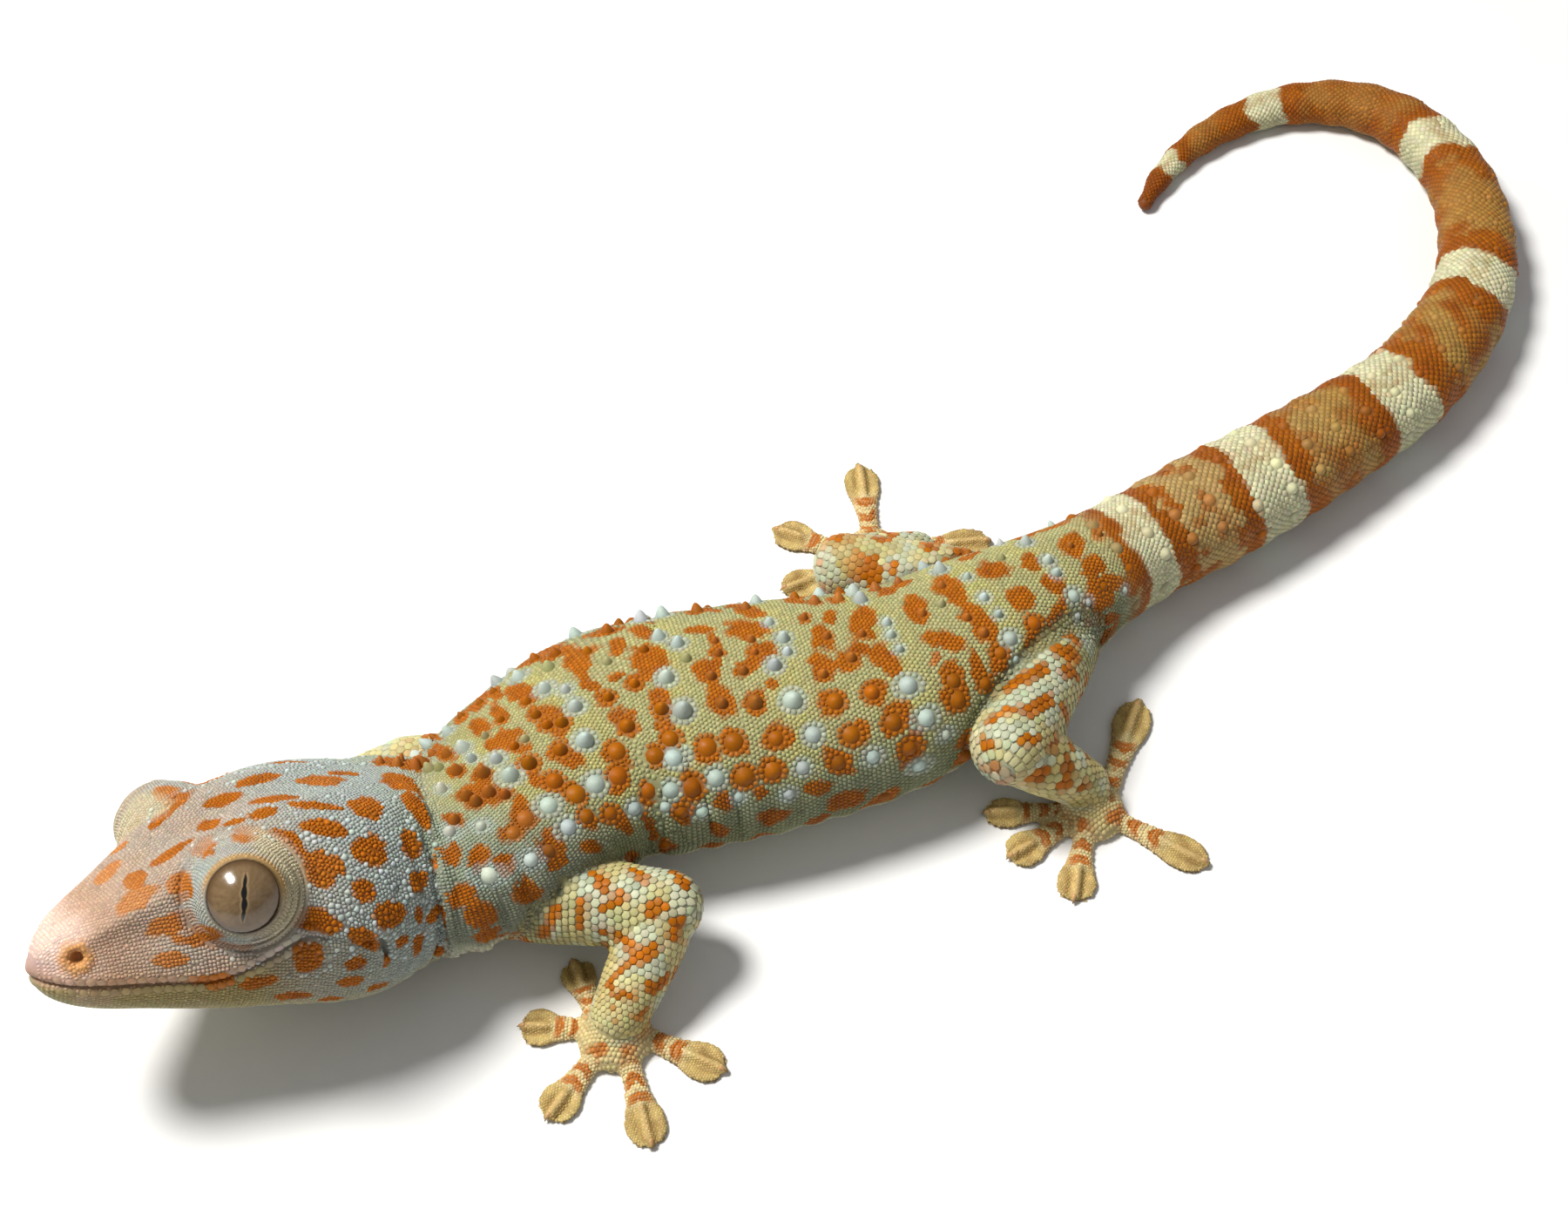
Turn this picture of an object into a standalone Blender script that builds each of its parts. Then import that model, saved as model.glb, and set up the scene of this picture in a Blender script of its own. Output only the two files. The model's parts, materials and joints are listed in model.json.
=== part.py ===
# Tokay gecko, life size, lying on its belly with the head turned, lifted and
# tilted to its left and the tail swept round in a hook.
# Worked in millimetres and set down in metres. The head points to -X, the
# animal's left is -Y, up is +Z, and everything that rests lies at Z = 0.
import math

import bmesh
import bpy
import numpy as np

MM = 0.001

# ---- driving dimensions, mm -------------------------------------------------
GAP = 0.3                      # thin cut between neighbouring parts
HEAD_SIZE = 1.03               # head scale over the table below
HEAD_TURN = 15.5               # head turned to the left of the body line, deg
HEAD_LIFT = 17.5               # snout raised, deg
HEAD_TILT = 29.0               # left cheek raised, deg
SNOUT = (-112.6, -37.6, 23.9)  # tip of the snout at the mouth line
HEAD_BACK = 42.0               # snout to the cut at the nape, on the table
MOUTH_END = 27.3               # snout to the corner of the mouth
EYE_AT = (20.4, 11.0, 7.7)     # back from the snout, sideways, above the mouth
EYE_RADIUS = 4.9
EYE_LOOK = (0.34, 0.88, 0.32)  # the way an eye faces: ahead, outward, up
BROW_RADIUS = 6.25             # rounded mound that carries the lids
BROW_SET = 2.2                 # mound middle, inward from the eye's middle
NECK_SIDES = 20                # points round the neck, as round the head
NECK_BLEND = 7.0               # length over which the neck takes the head's outline
CENTRE = (1.33, -3.44)          # moves the middle of the footprint to the origin

# head outline: back from the snout -> half width, height over the mouth line,
# depth under the mouth line
HEAD_X = (0, 1, 3, 6, 10, 14, 18, 22, 26, 30, 34, 38, 42)
HEAD_W = (0.8, 2.7, 4.6, 6.2, 8.0, 10.0, 11.9, 13.4, 14.4, 15.5, 15.9, 15.2, 13.6)
HEAD_T = (1.7, 3.7, 5.3, 6.8, 8.6, 10.4, 12.0, 13.0, 13.4, 13.4, 13.0, 12.2, 11.2)
HEAD_B = (0.5, 2.2, 3.7, 5.0, 6.1, 7.2, 8.2, 9.1, 10.2, 11.3, 11.9, 11.8, 11.2)

# spine: name, x, y, z of the axis, half width, height above, depth below, roll
SPINE = (
    ("nape", -65.9, -27.5, 11.2, 13.6, 9.9, 11.0, 20),
    ("neck", -59.3, -26.0, 11.6, 14.0, 9.8, 11.4, 10),
    ("withers", -52.1, -22.2, 11.6, 14.4, 10.0, 11.6, 3),
    ("shoulder", -43.0, -18.6, 11.3, 15.2, 10.5, 11.3, 0),
    ("chest", -34.8, -18.8, 11.0, 15.8, 10.8, 11.2, 0),
    ("midback", -22.4, -19.7, 10.7, 15.3, 10.8, 11.0, 0),
    ("loin", -9.8, -20.1, 10.4, 14.0, 10.4, 10.6, 0),
    ("flank", -2.4, -18.8, 10.2, 12.7, 10.1, 10.4, 0),
    ("hip", 5.2, -16.6, 10.0, 11.8, 9.8, 10.1, 0),
    ("rump", 13.9, -13.6, 9.4, 10.0, 9.0, 9.5, 0),
    ("vent", 22.9, -9.9, 8.4, 8.1, 7.9, 8.5, 0),
    ("tail_root", 33.4, -6.0, 7.4, 7.6, 7.1, 7.5, 0),
    ("tail_swell", 43.4, -3.0, 7.1, 8.1, 6.9, 7.2, 0),
    ("tail_c", 54.0, 0.2, 6.8, 7.8, 6.7, 6.9, 0),
    ("tail_d", 65.0, 4.1, 6.4, 7.3, 6.3, 6.5, 0),
    ("tail_e", 78.0, 9.4, 6.0, 6.8, 5.8, 6.1, 0),
    ("tail_f", 88.2, 16.2, 5.7, 6.5, 5.6, 5.8, 0),
    ("tail_g", 96.2, 24.1, 5.3, 6.1, 5.2, 5.4, 0),
    ("tail_h", 101.7, 33.5, 5.0, 5.7, 4.9, 5.1, 0),
    ("tail_i", 104.9, 44.4, 4.6, 5.2, 4.5, 4.7, 0),
    ("tail_j", 104.7, 54.3, 4.2, 4.8, 4.1, 4.3, 0),
    ("tail_k", 102.0, 62.1, 3.8, 4.4, 3.7, 3.9, 0),
    ("tail_l", 96.1, 67.7, 3.4, 3.9, 3.3, 3.5, 0),
    ("tail_m", 87.2, 70.4, 2.9, 3.3, 2.8, 3.0, 0),
    ("tail_n", 77.9, 69.4, 2.5, 2.8, 2.4, 2.6, 0),
    ("tail_o", 69.8, 66.3, 2.1, 2.3, 2.0, 2.2, 0),
    ("tail_p", 63.6, 62.0, 1.7, 1.9, 1.6, 1.8, 0),
    ("tail_tip", 59.8, 58.2, 1.4, 1.3, 1.2, 1.5, 0),
)
# where the long body is cut: node name, first station, last station, rings
BODY_CUTS = (
    ("neck", "cut", "withers", 7),
    ("chest", "withers", "midback", 7),
    ("belly", "midback", "flank", 6),
    ("pelvis", "flank", "vent", 7),
    ("tail_1", "vent", "tail_c", 7),
    ("tail_2", "tail_c", "tail_e", 6),
    ("tail_3", "tail_e", "tail_h", 7),
    ("tail_4", "tail_h", "tail_k", 7),
    ("tail_5", "tail_k", "tail_m", 6),
    ("tail_6", "tail_m", "tail_tip", 7),
)

# limbs: joints (x, y, z) with radii, palm middle and the five toe tips
LIMBS = {
    "arm_left": dict(
        root=(-58.4, -34.8, 9.2), r_root=5.5,
        mid=(-42.2, -41.9, 10.2), r_mid=4.6,
        end=(-50.4, -50.2, 3.9), r_end=3.7,
        palm=(-51.5, -51.4), spread=4.5, aim=250,
        toes=(((-53.3, -47.6), (-54.0, -39.9)), ((-54.6, -49.6), (-62.4, -46.8)),
              ((-54.9, -53.7), (-62.2, -59.6)), ((-50.9, -55.6), (-51.0, -66.8)),
              ((-48.2, -52.6), (-39.9, -60.0))),
    ),
    "arm_right": dict(
        root=(-54.0, -15.5, 6.8), r_root=4.6,
        mid=(-67.2, -10.9, 6.0), r_mid=4.0,
        end=(-76.8, -10.2, 3.4), r_end=3.1,
        palm=(-79.0, -10.0), spread=4.1, aim=190,
        toes=(((-79.4, -13.0), (-81.6, -18.6)), ((-81.4, -12.2), (-88.8, -18.8)),
              ((-82.6, -10.4), (-93.4, -13.6)), ((-82.2, -8.0), (-92.6, -5.6)),
              ((-80.0, -6.8), (-85.6, -2.8))),
    ),
    "leg_left": dict(
        root=(15.6, -17.6, 9.4), r_root=6.6,
        mid=(3.6, -33.8, 12.6), r_mid=5.1,
        end=(13.0, -36.6, 3.8), r_end=3.4,
        palm=(13.2, -38.9), spread=4.3, aim=290,
        toes=(((9.4, -37.8), (0.0, -35.2)), ((9.7, -40.0), (0.7, -42.4)),
              ((11.3, -42.1), (6.4, -50.8)), ((15.8, -41.0), (25.0, -50.9)),
              ((16.8, -36.4), (26.0, -24.6))),
    ),
    "leg_right": dict(
        root=(12.6, -11.0, 9.4), r_root=5.6,
        mid=(-6.2, 0.7, 8.8), r_mid=4.6,
        end=(5.0, 4.4, 3.4), r_end=2.7,
        palm=(-0.2, 7.0), spread=4.2, aim=110,
        toes=(((-3.6, 4.6), (-11.4, -0.4)), ((-4.4, 6.0), (-14.1, 5.4)),
              ((-3.9, 9.0), (-12.1, 16.0)), ((0.6, 10.6), (3.0, 23.6)),
              ((3.6, 7.2), (16.6, 4.9))),
    ),
}
# toe, along its length: share of the length, half width, height, sole height
TOE = (
    (0.00, 1.65, 2.0, 0.0),
    (0.26, 1.45, 1.6, 0.0),
    (0.48, 1.85, 1.4, 0.0),
    (0.68, 2.60, 1.2, 0.0),
    (0.84, 2.35, 1.1, 0.0),
    (0.92, 1.10, 1.1, 0.1),
    (1.00, 0.30, 0.75, 0.15),
)

# ---- colours ------------------------------------------------------------------
SKIN = ("gecko_skin", (0.50, 0.56, 0.42), 0.55)
TOE_SKIN = ("gecko_toe", (0.66, 0.50, 0.26), 0.55)
EYE = ("gecko_eye", (0.30, 0.20, 0.12), 0.12)


def clear_scene():
    for obj in list(bpy.data.objects):
        bpy.data.objects.remove(obj, do_unlink=True)


def material(spec):
    name, colour, rough = spec
    mat = bpy.data.materials.new(name)
    mat.use_nodes = True
    shader = mat.node_tree.nodes["Principled BSDF"]
    shader.inputs["Base Color"].default_value = (*colour, 1.0)
    shader.inputs["Roughness"].default_value = rough
    shader.inputs["Metallic"].default_value = 0.0
    return mat


def unit(v):
    v = np.asarray(v, float)
    return v / np.linalg.norm(v)


def curve_at(keys, values, x):
    """Smooth line through a table: cubic, with Catmull-Rom slopes."""
    keys = np.asarray(keys, float)
    values = np.asarray(values, float)
    i = int(np.clip(np.searchsorted(keys, x) - 1, 0, len(keys) - 2))
    h = keys[i + 1] - keys[i]
    t = (x - keys[i]) / h

    def slope(k):
        a, b = max(k - 1, 0), min(k + 1, len(keys) - 1)
        return (values[b] - values[a]) / (keys[b] - keys[a])

    m0, m1 = slope(i) * h, slope(i + 1) * h
    return ((2 * t**3 - 3 * t**2 + 1) * values[i] + (t**3 - 2 * t**2 + t) * m0
            + (-2 * t**3 + 3 * t**2) * values[i + 1] + (t**3 - t**2) * m1)


def make(name, verts, faces):
    mesh = bpy.data.meshes.new(name)
    mesh.from_pydata([tuple(float(c) for c in v) for v in verts], [], faces)
    mesh.validate()
    bm = bmesh.new()
    bm.from_mesh(mesh)
    bmesh.ops.recalc_face_normals(bm, faces=bm.faces[:])
    bmesh.ops.triangulate(bm, faces=bm.faces[:])
    bm.to_mesh(mesh)
    bm.free()
    obj = bpy.data.objects.new(name, mesh)
    bpy.context.scene.collection.objects.link(obj)
    return obj


def loft(name, rings, tip_first=None, tip_last=None):
    """Closed skin over rings of equal count, with a point or a flat fan at each end."""
    rings = [np.asarray(r, float) for r in rings]
    count = len(rings[0])
    verts = [p for r in rings for p in r]
    faces = []
    for i in range(len(rings) - 1):
        for k in range(count):
            a, b = i * count + k, i * count + (k + 1) % count
            faces.append((a, b, b + count, a + count))
    for ring, point, base in ((rings[0], tip_first, 0), (rings[-1], tip_last, (len(rings) - 1) * count)):
        verts.append(ring.mean(axis=0) if point is None else point)
        centre = len(verts) - 1
        for k in range(count):
            faces.append((centre, base + k, base + (k + 1) % count))
    return make(name, verts, faces)


def oval(centre, left, up, half, top, deep, count, power=2.2):
    """A rounded ring: half width, height above and depth below the axis."""
    pts = []
    for k in range(count):
        a = 2 * math.pi * k / count
        c, s = math.cos(a), math.sin(a)
        x = half * math.copysign(abs(c) ** (2 / power), c)
        z = (top if s >= 0 else deep) * math.copysign(abs(s) ** (2 / power), s)
        pts.append(centre + left * x + up * z)
    return np.array(pts)


def rest_on_floor(points):
    points = np.array(points)
    points[:, 2] = np.maximum(points[:, 2], 0.0)
    return points


# ---- booleans -------------------------------------------------------------------
def combine(obj, other, how):
    mod = obj.modifiers.new("cut", "BOOLEAN")
    mod.operation = how
    mod.solver = "EXACT"
    mod.object = other
    graph = bpy.context.evaluated_depsgraph_get()
    graph.update()
    mesh = bpy.data.meshes.new_from_object(obj.evaluated_get(graph))
    obj.modifiers.clear()
    obj.data = mesh
    bm = bmesh.new()
    bm.from_mesh(mesh)
    bmesh.ops.remove_doubles(bm, verts=bm.verts[:], dist=0.02)
    bmesh.ops.dissolve_degenerate(bm, edges=bm.edges[:], dist=0.01)
    bmesh.ops.triangulate(bm, faces=bm.faces[:])
    bmesh.ops.recalc_face_normals(bm, faces=bm.faces[:])
    bm.to_mesh(mesh)
    bm.free()


def subtract(obj, cutter):
    combine(obj, cutter, "DIFFERENCE")


def drop(obj):
    bpy.data.objects.remove(obj, do_unlink=True)


def largest_piece(obj):
    """Keeps the biggest of the pieces a cut has left, so each part is one body."""
    bm = bmesh.new()
    bm.from_mesh(obj.data)
    left = set(bm.verts)
    groups = []
    while left:
        stack = [left.pop()]
        group = [stack[0]]
        while stack:
            v = stack.pop()
            for e in v.link_edges:
                w = e.other_vert(v)
                if w in left:
                    left.discard(w)
                    stack.append(w)
                    group.append(w)
        groups.append(group)
    groups.sort(key=len, reverse=True)
    spare = [v for g in groups[1:] for v in g]
    if spare:
        bmesh.ops.delete(bm, geom=spare, context="VERTS")
        bm.to_mesh(obj.data)
    bm.free()


# ---- the head's own axes ----------------------------------------------------------
def head_axes():
    turn, lift, tilt = (math.radians(d) for d in (HEAD_TURN, HEAD_LIFT, HEAD_TILT))
    flat = np.array([-math.cos(turn), -math.sin(turn), 0.0])
    ahead = flat * math.cos(lift) + np.array([0, 0, math.sin(lift)])
    left = np.cross((0, 0, 1), flat)
    up = np.cross(ahead, left)
    return (ahead, left * math.cos(tilt) + up * math.sin(tilt),
            up * math.cos(tilt) - left * math.sin(tilt))


AHEAD, LEFT, UP = head_axes()


def in_head(back, side, high):
    """A point in the head: back from the snout, to the left, above the mouth line."""
    return np.array(SNOUT) + HEAD_SIZE * (-AHEAD * back + LEFT * side + UP * high)


def head_ring(back, grow=0.0):
    w = curve_at(HEAD_X, HEAD_W, back) + grow
    t = curve_at(HEAD_X, HEAD_T, back) + grow
    b = curve_at(HEAD_X, HEAD_B, back) + grow
    upper = ((0.30, 1.0), (0.57, 0.95), (0.77, 0.76), (0.92, 0.46), (1.0, 0.12))
    lower = ((0.98, 0.14), (0.89, 0.5), (0.70, 0.82), (0.38, 0.97))
    right = [(-x * w, z * t) for x, z in upper] + [(-x * w, -z * b) for x, z in lower]
    left = [(x * w, -z * b) for x, z in reversed(lower)] + [(x * w, z * t) for x, z in reversed(upper)]
    outline = [(0.0, t)] + right + [(0.0, -b)] + left
    return np.array([in_head(back, y, z) for y, z in outline])


def ellipsoid(name, centre, axes, radii, segments=16, rows=8):
    pts, faces = [], []
    for j in range(1, rows):
        v = math.pi * j / rows
        for i in range(segments):
            u = 2 * math.pi * i / segments
            pts.append(centre + axes[0] * radii[0] * math.sin(v) * math.cos(u)
                       + axes[1] * radii[1] * math.sin(v) * math.sin(u)
                       + axes[2] * radii[2] * math.cos(v))
    pts += [centre + axes[2] * radii[2], centre - axes[2] * radii[2]]
    for j in range(rows - 2):
        for i in range(segments):
            a, b = j * segments + i, j * segments + (i + 1) % segments
            faces.append((a, b, b + segments, a + segments))
    for i in range(segments):
        faces.append((len(pts) - 2, i, (i + 1) % segments))
        base = (rows - 2) * segments
        faces.append((len(pts) - 1, base + i, base + (i + 1) % segments))
    return make(name, pts, faces)


def eye_axes(side):
    """Axes of an eye: along the head, upright, and out through the pupil."""
    look = unit(AHEAD * EYE_LOOK[0] + LEFT * side * EYE_LOOK[1] + UP * EYE_LOOK[2])
    high = unit(UP - look * np.dot(UP, look))
    return np.cross(high, look), high, look


def eye_centre(side, along=0.0):
    return in_head(EYE_AT[0], side * EYE_AT[1], EYE_AT[2]) + eye_axes(side)[2] * along * HEAD_SIZE


def mouth_block(name, inset):
    """The block under the mouth line, up to the corner of the mouth."""
    profile = ((-6, 0.0), (12, 0.0), (18, 0.35), (23, 1.0), (MOUTH_END - 2.0, 1.7), (MOUTH_END, 2.0),
               (MOUTH_END, -30), (-6, -30))
    back_shift = -inset if inset else 0.0
    ends = []
    for side in (-30, 30):
        ring = []
        for back, high in profile:
            b = back + (back_shift if back == MOUTH_END else 0.0)
            ring.append(in_head(b, side, high - (inset if high > -30 else 0.0)))
        ends.append(np.array(ring))
    n = len(profile)
    verts = list(ends[0]) + list(ends[1])
    faces = [tuple(range(n)), tuple(range(n, 2 * n))]
    faces += [(k, (k + 1) % n, (k + 1) % n + n, k + n) for k in range(n)]
    return make(name, verts, faces)


HEAD_STEPS = (0, 0.6, 1.6, 3, 5, 7.5, 10, 12.5, 15, 17.5, 20, 22.5, 25, 27.5, 30, 33, 36, 39, HEAD_BACK)


def build_head(parts):
    def whole(name, grow=0.0):
        rings = [rest_on_floor(head_ring(s, grow)) for s in HEAD_STEPS]
        return loft(name, rings, tip_first=in_head(-0.35, 0, 0.8))

    head = whole("head")
    for side in (1, -1):
        mound = ellipsoid("mound", eye_centre(side, -BROW_SET), eye_axes(side),
                          np.array([1.04, 1, 1]) * BROW_RADIUS * HEAD_SIZE, 14, 8)
        combine(head, mound, "UNION")
        drop(mound)
    jaw = whole("lower_jaw")
    block = mouth_block("block", 0.0)
    subtract(head, block)
    drop(block)
    block = mouth_block("block", GAP)
    combine(jaw, block, "INTERSECT")
    drop(block)
    for label, side in (("left", 1), ("right", -1)):
        centre = eye_centre(side)
        r = EYE_RADIUS * HEAD_SIZE
        socket = ellipsoid("socket", centre, eye_axes(side), np.array([1, 1, 1]) * (r + 0.2), 14, 8)
        subtract(head, socket)
        drop(socket)
        eye = ellipsoid("eye_" + label, centre, eye_axes(side), np.array([1, 1, 1]) * r, 14, 8)
        parts.append((eye, EYE))
    largest_piece(head)
    largest_piece(jaw)
    parts.append((head, SKIN))
    parts.append((jaw, SKIN))


# ---- the long body ------------------------------------------------------------------
def spine_table():
    cut = in_head(HEAD_BACK, 0, 0.6)
    w, t, b = (curve_at(HEAD_X, table, HEAD_BACK) * HEAD_SIZE for table in (HEAD_W, HEAD_T, HEAD_B))
    rows = [("cut", *cut, w, t - 0.6, b + 0.6, HEAD_TILT)] + list(SPINE)
    names = [r[0] for r in rows]
    values = np.array([r[1:] for r in rows], float)
    steps = np.linalg.norm(np.diff(values[:, :3], axis=0), axis=1)
    along = np.concatenate([[0.0], np.cumsum(steps)])
    return names, values, along


def spine_at(s, table):
    names, values, along = table
    row = np.array([curve_at(along, values[:, k], s) for k in range(values.shape[1])])
    e = 0.2
    a, b = max(s - e, 0.0), min(s + e, along[-1])
    ahead = np.array([curve_at(along, values[:, k], a) - curve_at(along, values[:, k], b) for k in range(3)])
    ahead = unit(ahead)
    blend = min(1.0, max(0.0, s - 0.5) / 5.0)
    ahead = unit(AHEAD * (1 - blend) + ahead * blend)
    left = unit(np.cross((0, 0, 1), ahead))
    up = np.cross(ahead, left)
    roll = math.radians(row[6])
    return (row[:3], left * math.cos(roll) + up * math.sin(roll), up * math.cos(roll) - left * math.sin(roll),
            row[3], row[4], row[5])


def spine_ring(s, table, count, grow=0.0):
    centre, left, up, half, top, deep = spine_at(s, table)
    ring = oval(centre, left, up, half + grow, top + grow, deep + grow, count, 2.25)
    share = min(1.0, max(0.0, (s - GAP) / NECK_BLEND))
    if count == NECK_SIDES and share < 1.0:
        nape = np.roll(head_ring(HEAD_BACK, grow), NECK_SIDES // 4, axis=0) - AHEAD * s
        share = share * share * (3 - 2 * share)
        ring = nape * (1 - share) + ring * share
    return ring


def build_body(parts):
    table = spine_table()
    names, _, along = table
    for name, first, last, rings in BODY_CUTS:
        count = 16 if name.startswith("tail") else NECK_SIDES if name == "neck" else 18
        s0 = along[names.index(first)] + (GAP if first == "cut" else GAP / 2)
        s1 = along[names.index(last)] - (0.0 if last == "tail_tip" else GAP / 2)
        steps = np.linspace(s0, s1, rings)
        loops = [rest_on_floor(spine_ring(s, table, count)) for s in steps]
        tip = None
        if last == "tail_tip":
            centre, left, up, half, top, deep = spine_at(s1, table)
            ahead = np.cross(left, up)
            loops.append(rest_on_floor(oval(centre - ahead * 0.8, left, up, half * 0.62, top * 0.6, deep * 0.9, count)))
            tip = centre - ahead * 1.2
        parts.append((loft(name, loops, tip_last=tip), SKIN))


def body_cutter(first, last, grow):
    """A swollen copy of a length of the body, to cut the limbs clear of it."""
    table = spine_table()
    names, _, along = table
    s0, s1 = along[names.index(first)], along[names.index(last)]
    steps = np.linspace(s0, s1, max(4, int((s1 - s0) / 3.2)))
    count = NECK_SIDES if first == "cut" else 18
    return loft("cutter", [spine_ring(s, table, count, grow) for s in steps])


# ---- limbs --------------------------------------------------------------------------
def tube(name, ends, radii, grow=0.0, count=12, belly=1.06, flat_floor=True):
    """A round-ended limb length between two joints, a little fuller in the middle."""
    a, b = (np.array(p, float) for p in ends)
    ahead = unit(b - a)
    side = unit(np.cross(ahead, (0.0, 0.0, 1.0)))
    up = np.cross(side, ahead)
    rings = []
    for shift, share in ((-0.80, 0.55), (-0.40, 0.90)):
        r = radii[0] + grow
        rings.append(oval(a + ahead * shift * r, side, up, r * share, r * share, r * share, count, 2.0))
    for t in (0.0, 0.35, 0.7, 1.0):
        r = (radii[0] * (1 - t) + radii[1] * t) * (1 + (belly - 1) * math.sin(math.pi * t)) + grow
        rings.append(oval(a + (b - a) * t, side, up, r, r, r, count, 2.0))
    for shift, share in ((0.40, 0.90), (0.80, 0.55)):
        r = radii[1] + grow
        rings.append(oval(b + ahead * shift * r, side, up, r * share, r * share, r * share, count, 2.0))
    if flat_floor:
        rings = [rest_on_floor(r) for r in rings]
    first = a - ahead * (radii[0] + grow)
    last = b + ahead * (radii[1] + grow)
    first[2], last[2] = max(first[2], 0.4), max(last[2], 0.4)
    return loft(name, rings, tip_first=first, tip_last=last)


def palm_of(name, limb, grow=0.0):
    """A low rounded palm with a flat sole."""
    cx, cy = limb["palm"]
    r = limb["spread"] + grow
    rings = []
    aim = math.radians(limb["aim"])
    for share, high in ((0.86, 0.0), (1.0, 0.55), (0.97, 1.4), (0.80, 2.6), (0.45, 3.3)):
        low = -grow if high == 0.0 else 0.0
        ring = []
        for k in range(12):
            a = 2 * math.pi * k / 12
            stretch = 1.0 + 0.10 * math.cos(a - aim)
            ring.append((cx + r * share * stretch * math.cos(a), cy + r * share * stretch * math.sin(a),
                         high + low + (grow if high > 1 else 0.0)))
        rings.append(np.array(ring))
    return loft(name, rings, tip_first=np.array([cx, cy, -grow]), tip_last=np.array([cx, cy, 3.5 + grow]))


def toe_of(name, limb, number, grow=0.0):
    """A toe with a broad pad and a small claw, its sole flat on the floor."""
    base, tip = (np.array([*p, 0.0]) for p in limb["toes"][number - 1])
    ahead = unit(tip - base)
    side = np.array([-ahead[1], ahead[0], 0.0])
    start = base - ahead * 1.6
    length = np.linalg.norm(tip - start)
    rings = []
    wide = 0.88 if number == 1 else 1.0
    for share, half, high, low in TOE:
        half, high = half * wide + grow, high + grow
        low = low - grow
        c = start + ahead * length * share
        outline = ((1.0, 0.34), (0.52, 0.95), (-0.52, 0.95), (-1.0, 0.34), (-0.82, 0.0), (0.82, 0.0))
        rings.append(np.array([c + side * half * x + np.array([0, 0, low + (high - low) * z]) for x, z in outline]))
    return loft(name, rings)


def build_limbs(parts):
    for label, limb in LIMBS.items():
        arm = label.startswith("arm")
        side = label.split("_")[1]
        foot = ("hand_" if arm else "foot_") + side
        ends_upper = (limb["root"], limb["mid"])
        ends_lower = (limb["mid"], limb["end"])
        r_upper = (limb["r_root"], limb["r_mid"])
        r_lower = (limb["r_mid"] * 0.94, limb["r_end"])
        body = body_cutter("cut" if arm else "loin", "chest" if arm else "tail_root", GAP)
        upper = tube(label + "_upper", ends_upper, r_upper)
        subtract(upper, body)
        lower = tube(label + "_lower", ends_lower, r_lower)
        fat = tube("fat", ends_upper, r_upper, GAP, flat_floor=False)
        subtract(lower, fat)
        drop(fat)
        subtract(lower, body)
        palm = palm_of(foot, limb)
        fat_palm = palm_of("fat", limb, GAP)
        subtract(lower, fat_palm)
        subtract(palm, body)
        for obj, skin in ((upper, SKIN), (lower, SKIN), (palm, SKIN)):
            largest_piece(obj)
            parts.append((obj, skin))
        fat_lower = tube("fat_lower", ends_lower, r_lower, GAP, flat_floor=False)
        previous = None
        for number in range(1, 6):
            toe = toe_of(f"{foot}_toe_{number}", limb, number)
            subtract(toe, fat_palm)
            subtract(toe, fat_lower)
            if previous:
                subtract(toe, previous)
                drop(previous)
            previous = toe_of("fat_toe", limb, number, GAP)
            largest_piece(toe)
            parts.append((toe, TOE_SKIN))
        drop(previous)
        drop(fat_palm)
        drop(fat_lower)
        drop(body)


def finish(parts):
    cx, cy = CENTRE
    for obj, spec in parts:
        mesh = obj.data
        mesh.name = obj.name
        for v in mesh.vertices:
            v.co = ((v.co.x + cx) * MM, (v.co.y + cy) * MM, v.co.z * MM)
        mesh.materials.clear()
        mesh.materials.append(material(spec))
        mesh.update()


def main():
    clear_scene()
    parts = []
    build_head(parts)
    build_body(parts)
    build_limbs(parts)
    finish(parts)
    total = sum(len(o.data.polygons) for o, _ in parts)
    low = np.min([[c for c in v.co] for o, _ in parts for v in o.data.vertices], axis=0)
    high = np.max([[c for c in v.co] for o, _ in parts for v in o.data.vertices], axis=0)
    print("parts", len(parts), "triangles", total, "box", low.round(5), high.round(5))


main()
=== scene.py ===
"""A resting tokay gecko, life size: one skin with its coat of scales, eyes and claws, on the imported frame."""

import json
import math

import bmesh
import bpy
import numpy as np
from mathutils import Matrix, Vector
from mathutils.bvhtree import BVHTree
from mathutils.kdtree import KDTree

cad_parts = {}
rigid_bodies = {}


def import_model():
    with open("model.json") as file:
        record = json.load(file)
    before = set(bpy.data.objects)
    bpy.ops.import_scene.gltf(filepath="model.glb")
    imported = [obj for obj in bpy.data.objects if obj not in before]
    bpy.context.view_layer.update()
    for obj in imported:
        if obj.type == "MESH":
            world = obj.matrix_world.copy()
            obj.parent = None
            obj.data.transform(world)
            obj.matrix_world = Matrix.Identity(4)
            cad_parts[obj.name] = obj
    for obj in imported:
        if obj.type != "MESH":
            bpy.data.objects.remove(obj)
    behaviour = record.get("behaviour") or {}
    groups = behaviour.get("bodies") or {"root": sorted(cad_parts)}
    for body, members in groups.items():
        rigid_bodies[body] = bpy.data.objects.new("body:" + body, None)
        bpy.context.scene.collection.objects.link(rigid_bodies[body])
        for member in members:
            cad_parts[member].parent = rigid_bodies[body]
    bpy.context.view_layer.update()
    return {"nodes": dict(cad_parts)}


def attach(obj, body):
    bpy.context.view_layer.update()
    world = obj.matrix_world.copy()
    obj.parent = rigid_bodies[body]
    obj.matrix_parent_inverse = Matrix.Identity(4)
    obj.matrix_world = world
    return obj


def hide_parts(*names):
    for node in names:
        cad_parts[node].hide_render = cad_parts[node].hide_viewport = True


for leftover in list(bpy.data.objects):
    bpy.data.objects.remove(leftover)

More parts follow.
